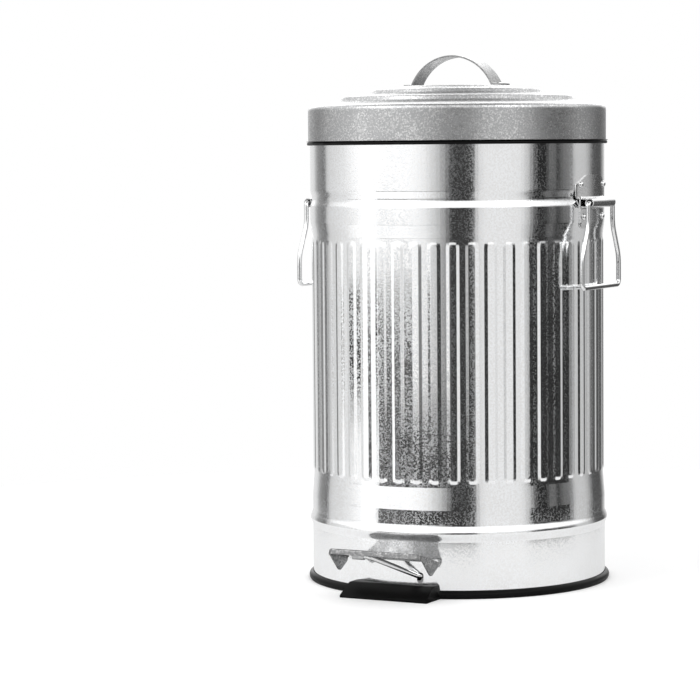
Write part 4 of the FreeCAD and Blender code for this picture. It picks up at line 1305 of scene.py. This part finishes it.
# -------- studio
@dataclass
class Studio:
    """Pale floor, soft surrounding light and the camera of the photograph.

    Attributes:
        camera_place: camera in the object's frame, in metres.
        heading: turn of the view to the left of +Y, in degrees.
        pitch: how far the view looks down, in degrees.
        roll: turn of the camera about its view, in degrees.
        focal: focal length in sensor widths.
        floor_radius, floor_tone: how far the floor reaches, and its brightness.
        floor_glow: light that it gives to the camera alone, to stay white there.
        floor_fade: distances between which it fades out of reflections.
        lamps: (name, place, width, power) of each lamp.
        lamp_aim: point that the lamps face.
        walls: (bearing from the camera side, in degrees; brightness), turning right.
        screens: (bearings between, elevations between, in degrees; brightness).
        screen_edges: softness of a screen's sides, lower and upper edge, in degrees.
        ceiling, overhead: (sines of elevation where it starts and is full; brightness).
        rear_light: (sines of elevation; bearings where it starts and is full; brightness).
        plain_light: brightness of the room for matt surfaces.
    """

    camera_place: tuple[float, float, float] = (1.16215, -2.49713, 0.4261)
    heading: float = 27.2
    pitch: float = 4.116
    roll: float = 0.465
    focal: float = 2761.0 / 700
    floor_radius: float = 0.95
    floor_tone: float = 0.84
    floor_glow: float = 0.20
    floor_fade: tuple[float, float] = (0.46, 0.57)
    lamps: tuple[tuple[str, tuple[float, float, float], float, float], ...] = (
        ("soft_key", (-1.1, -1.6, 1.9), 1.4, 14.0),
        ("soft_fill", (1.7, -0.6, 1.5), 1.0, 6.0),
    )
    lamp_aim: tuple[float, float, float] = (0.0, 0.0, 0.25)
    walls: tuple[tuple[float, float], ...] = (
        (-180, 0.90), (-151, 0.76), (-141, 0.30), (-126, 0.17), (-121, 0.66), (-100, 0.80),
        (-90, 1.04), (-80, 1.16), (-40, 1.16), (-26, 0.96), (-13, 0.52), (-8, 0.22),
        (-4, 0.04), (12, 0.05), (15, 0.68), (20, 0.84), (50, 0.82), (56, 0.62),
        (60, 0.28), (64, 0.02), (73, 0.02), (76, 0.17), (81, 0.17), (84, 0.04),
        (91, 0.18), (100, 0.24), (104, 0.60), (119, 0.56), (127, 0.28), (131, 0.09),
        (150, 0.08), (170, 0.80),
    )
    screens: tuple[tuple[float, float, float, float, float], ...] = (
        (-66, -38, -12.0, -2.9, 0.12),
        (-96, -82, -5.4, -2.7, 0.02),
        (-42, -5, -12.0, -5.4, 0.05),
        (57, 97, -12.0, -1.8, 0.03),
    )
    screen_edges: tuple[float, float, float] = (1.0, 0.6, 0.3)
    ceiling: tuple[float, float, float] = (0.14, 0.40, 1.25)
    overhead: tuple[float, float, float] = (0.72, 0.92, 0.35)
    rear_light: tuple[float, float, float, float, float] = (0.02, 0.10, 148.0, 168.0, 2.6)
    plain_light: float = 0.86

    def build(self) -> None:
        """Sets the camera, the floor, the lamps and the world."""
        self.set_camera()
        self.lay_floor()
        self.hang_lamps()
        self.paint_world()

    def set_camera(self) -> None:
        """Puts the camera where the photograph was taken from."""
        turn, down, roll = (math.radians(a) for a in (self.heading, self.pitch, self.roll))
        ahead = Vector(
            (-math.sin(turn) * math.cos(down), math.cos(turn) * math.cos(down), -math.sin(down))
        )
        right = Vector((math.cos(turn), math.sin(turn), 0))
        up = right.cross(ahead)
        rolled_right = right * math.cos(roll) - up * math.sin(roll)
        rolled_up = right * math.sin(roll) + up * math.cos(roll)
        data = bpy.data.cameras.new("photo_camera")
        data.sensor_width = 36.0
        data.lens = self.focal * data.sensor_width
        data.clip_start, data.clip_end = 0.05, 50.0
        camera = bpy.data.objects.new("photo_camera", data)
        bpy.context.scene.collection.objects.link(camera)
        facing = Matrix((rolled_right, rolled_up, -ahead)).transposed().to_4x4()
        camera.matrix_world = Matrix.Translation(self.camera_place) @ facing
        bpy.context.scene.camera = camera

    def lay_floor(self) -> None:
        """Lays a round pale floor that fades out under the studio's white."""
        clear_selection()
        bpy.ops.mesh.primitive_circle_add(
            vertices=128, radius=self.floor_radius, fill_type="NGON", location=(0, 0, 0)
        )
        floor = bpy.context.object
        floor.name = "floor"
        material, shader = start_material("pale_floor")
        seen = shader.node("LightPath")
        matt = shader.node("BsdfDiffuse")
        matt.inputs["Color"].default_value = grey(self.floor_tone)
        glow = shader.node("Emission")
        strength = shader.maths("MULTIPLY", seen.outputs["Is Camera Ray"], self.floor_glow)
        shader.join(strength, glow.inputs["Strength"])
        both = shader.node("AddShader")
        shader.join(matt.outputs[0], both.inputs[0])
        shader.join(glow.outputs[0], both.inputs[1])
        place = shader.node("TexCoord")
        reach = shader.node("VectorMath", operation="LENGTH")
        shader.join(place.outputs["Object"], reach.inputs[0])
        far = shader.spread(reach.outputs["Value"], *self.floor_fade)
        fade = shader.maths("MULTIPLY", far, seen.outputs["Is Glossy Ray"])
        clear = shader.node("BsdfTransparent")
        mixed = shader.node("MixShader")
        shader.join(fade, mixed.inputs[0])
        shader.join(both.outputs[0], mixed.inputs[1])
        shader.join(clear.outputs[0], mixed.inputs[2])
        done = shader.node("OutputMaterial")
        shader.join(mixed.outputs[0], done.inputs["Surface"])
        floor.data.materials.append(material)

    def hang_lamps(self) -> None:
        """Hangs one large soft lamp over the front left and one over the right."""
        for name, place, size, power in self.lamps:
            data = bpy.data.lights.new(name, "AREA")
            data.size = size
            data.energy = power
            lamp = bpy.data.objects.new(name, data)
            bpy.context.scene.collection.objects.link(lamp)
            aim = Vector(self.lamp_aim) - Vector(place)
            lamp.matrix_world = (
                Matrix.Translation(place) @ aim.to_track_quat("-Z", "Y").to_matrix().to_4x4()
            )

    def paint_room(
        self, shader: Shader, bearing: NodeSocket, up: NodeSocket
    ) -> NodeSocket:
        """What bright metal reflects: walls, low screens, a ceiling and a light at the rear.

        Args:
            shader: the world's nodes.
            bearing: a ray's bearing from the camera side, in radians.
            up: sine of its elevation.

        Returns:
            The room's colour.
        """
        turn = shader.maths("MULTIPLY_ADD", bearing, 1 / math.tau, 0.5)
        stops = [((degrees + 180) / 360, level) for degrees, level in self.walls]
        room = shader.ramp(turn, stops)
        climb = shader.maths("MULTIPLY", shader.maths("ARCSINE", up), 180 / math.pi)
        aside = shader.maths("MULTIPLY", bearing, 180 / math.pi)
        side_edge, low_edge, high_edge = self.screen_edges
        for left, right, low, high, level in self.screens:
            screen = shader.maths(
                "MULTIPLY",
                shader.window(aside, left, right, side_edge, side_edge),
                shader.window(climb, low, high, low_edge, high_edge),
            )
            room = shader.mix_colour(screen, room, grey(level))
        start, full, level = self.ceiling
        room = shader.mix_colour(shader.spread(up, start, full), room, grey(level))
        start, full, near, far, level = self.rear_light
        rear = shader.maths(
            "MULTIPLY",
            shader.spread(up, start, full),
            shader.spread(shader.maths("ABSOLUTE", aside), near, far),
        )
        room = shader.mix_colour(rear, room, grey(level))
        start, full, level = self.overhead
        return shader.mix_colour(shader.spread(up, start, full), room, grey(level))

    def paint_world(self) -> None:
        """White to the camera, an even glow for plain light, and lit walls in reflections."""
        world = bpy.data.worlds.new("studio")
        bpy.context.scene.world = world
        world.use_nodes = True
        world.node_tree.nodes.clear()
        shader = Shader(world.node_tree)
        seen = shader.node("LightPath")
        place = shader.node("TexCoord")
        parts = shader.node("SeparateXYZ")
        shader.join(place.outputs["Generated"], parts.inputs[0])
        east, north, up = parts.outputs
        side = math.atan2(self.camera_place[0], -self.camera_place[1])
        along_y = shader.maths("MULTIPLY", north, math.cos(side))
        towards = shader.maths(
            "SUBTRACT", shader.maths("MULTIPLY", east, math.sin(side)), along_y
        )
        along_x = shader.maths("MULTIPLY", north, math.sin(side))
        across = shader.maths("MULTIPLY_ADD", east, math.cos(side), along_x)
        room = self.paint_room(shader, shader.maths("ARCTAN2", across, towards), up)
        lit = shader.mix_colour(seen.outputs["Is Diffuse Ray"], room, grey(self.plain_light))
        shown = shader.mix_colour(seen.outputs["Is Camera Ray"], lit, grey(1.0))
        sky = shader.node("Background")
        shader.join(shown, sky.inputs["Color"])
        done = shader.node("OutputWorld")
        shader.join(sky.outputs[0], done.inputs["Surface"])


def corners(bounds: tuple[Vector, Vector]) -> list[list[float]]:
    """A box as plain lists of numbers."""
    return [list(corner) for corner in bounds]


def main() -> None:
    """Loads the frame, builds and dresses every sub-assembly, and sets up the studio."""
    logging.basicConfig(level=logging.INFO, format="%(name)s: %(message)s")
    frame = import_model()
    LOG.info("frame has %d nodes", len(frame["nodes"]))
    bpy.context.scene.view_settings.view_transform = "Standard"
    Studio().build()
    shop = Workshop(Finishes())
    CanWall().build(shop)
    Lid().build(shop)
    SideHandles().build(shop)
    Fittings().build(shop)


if __name__ == "__main__":
    main()
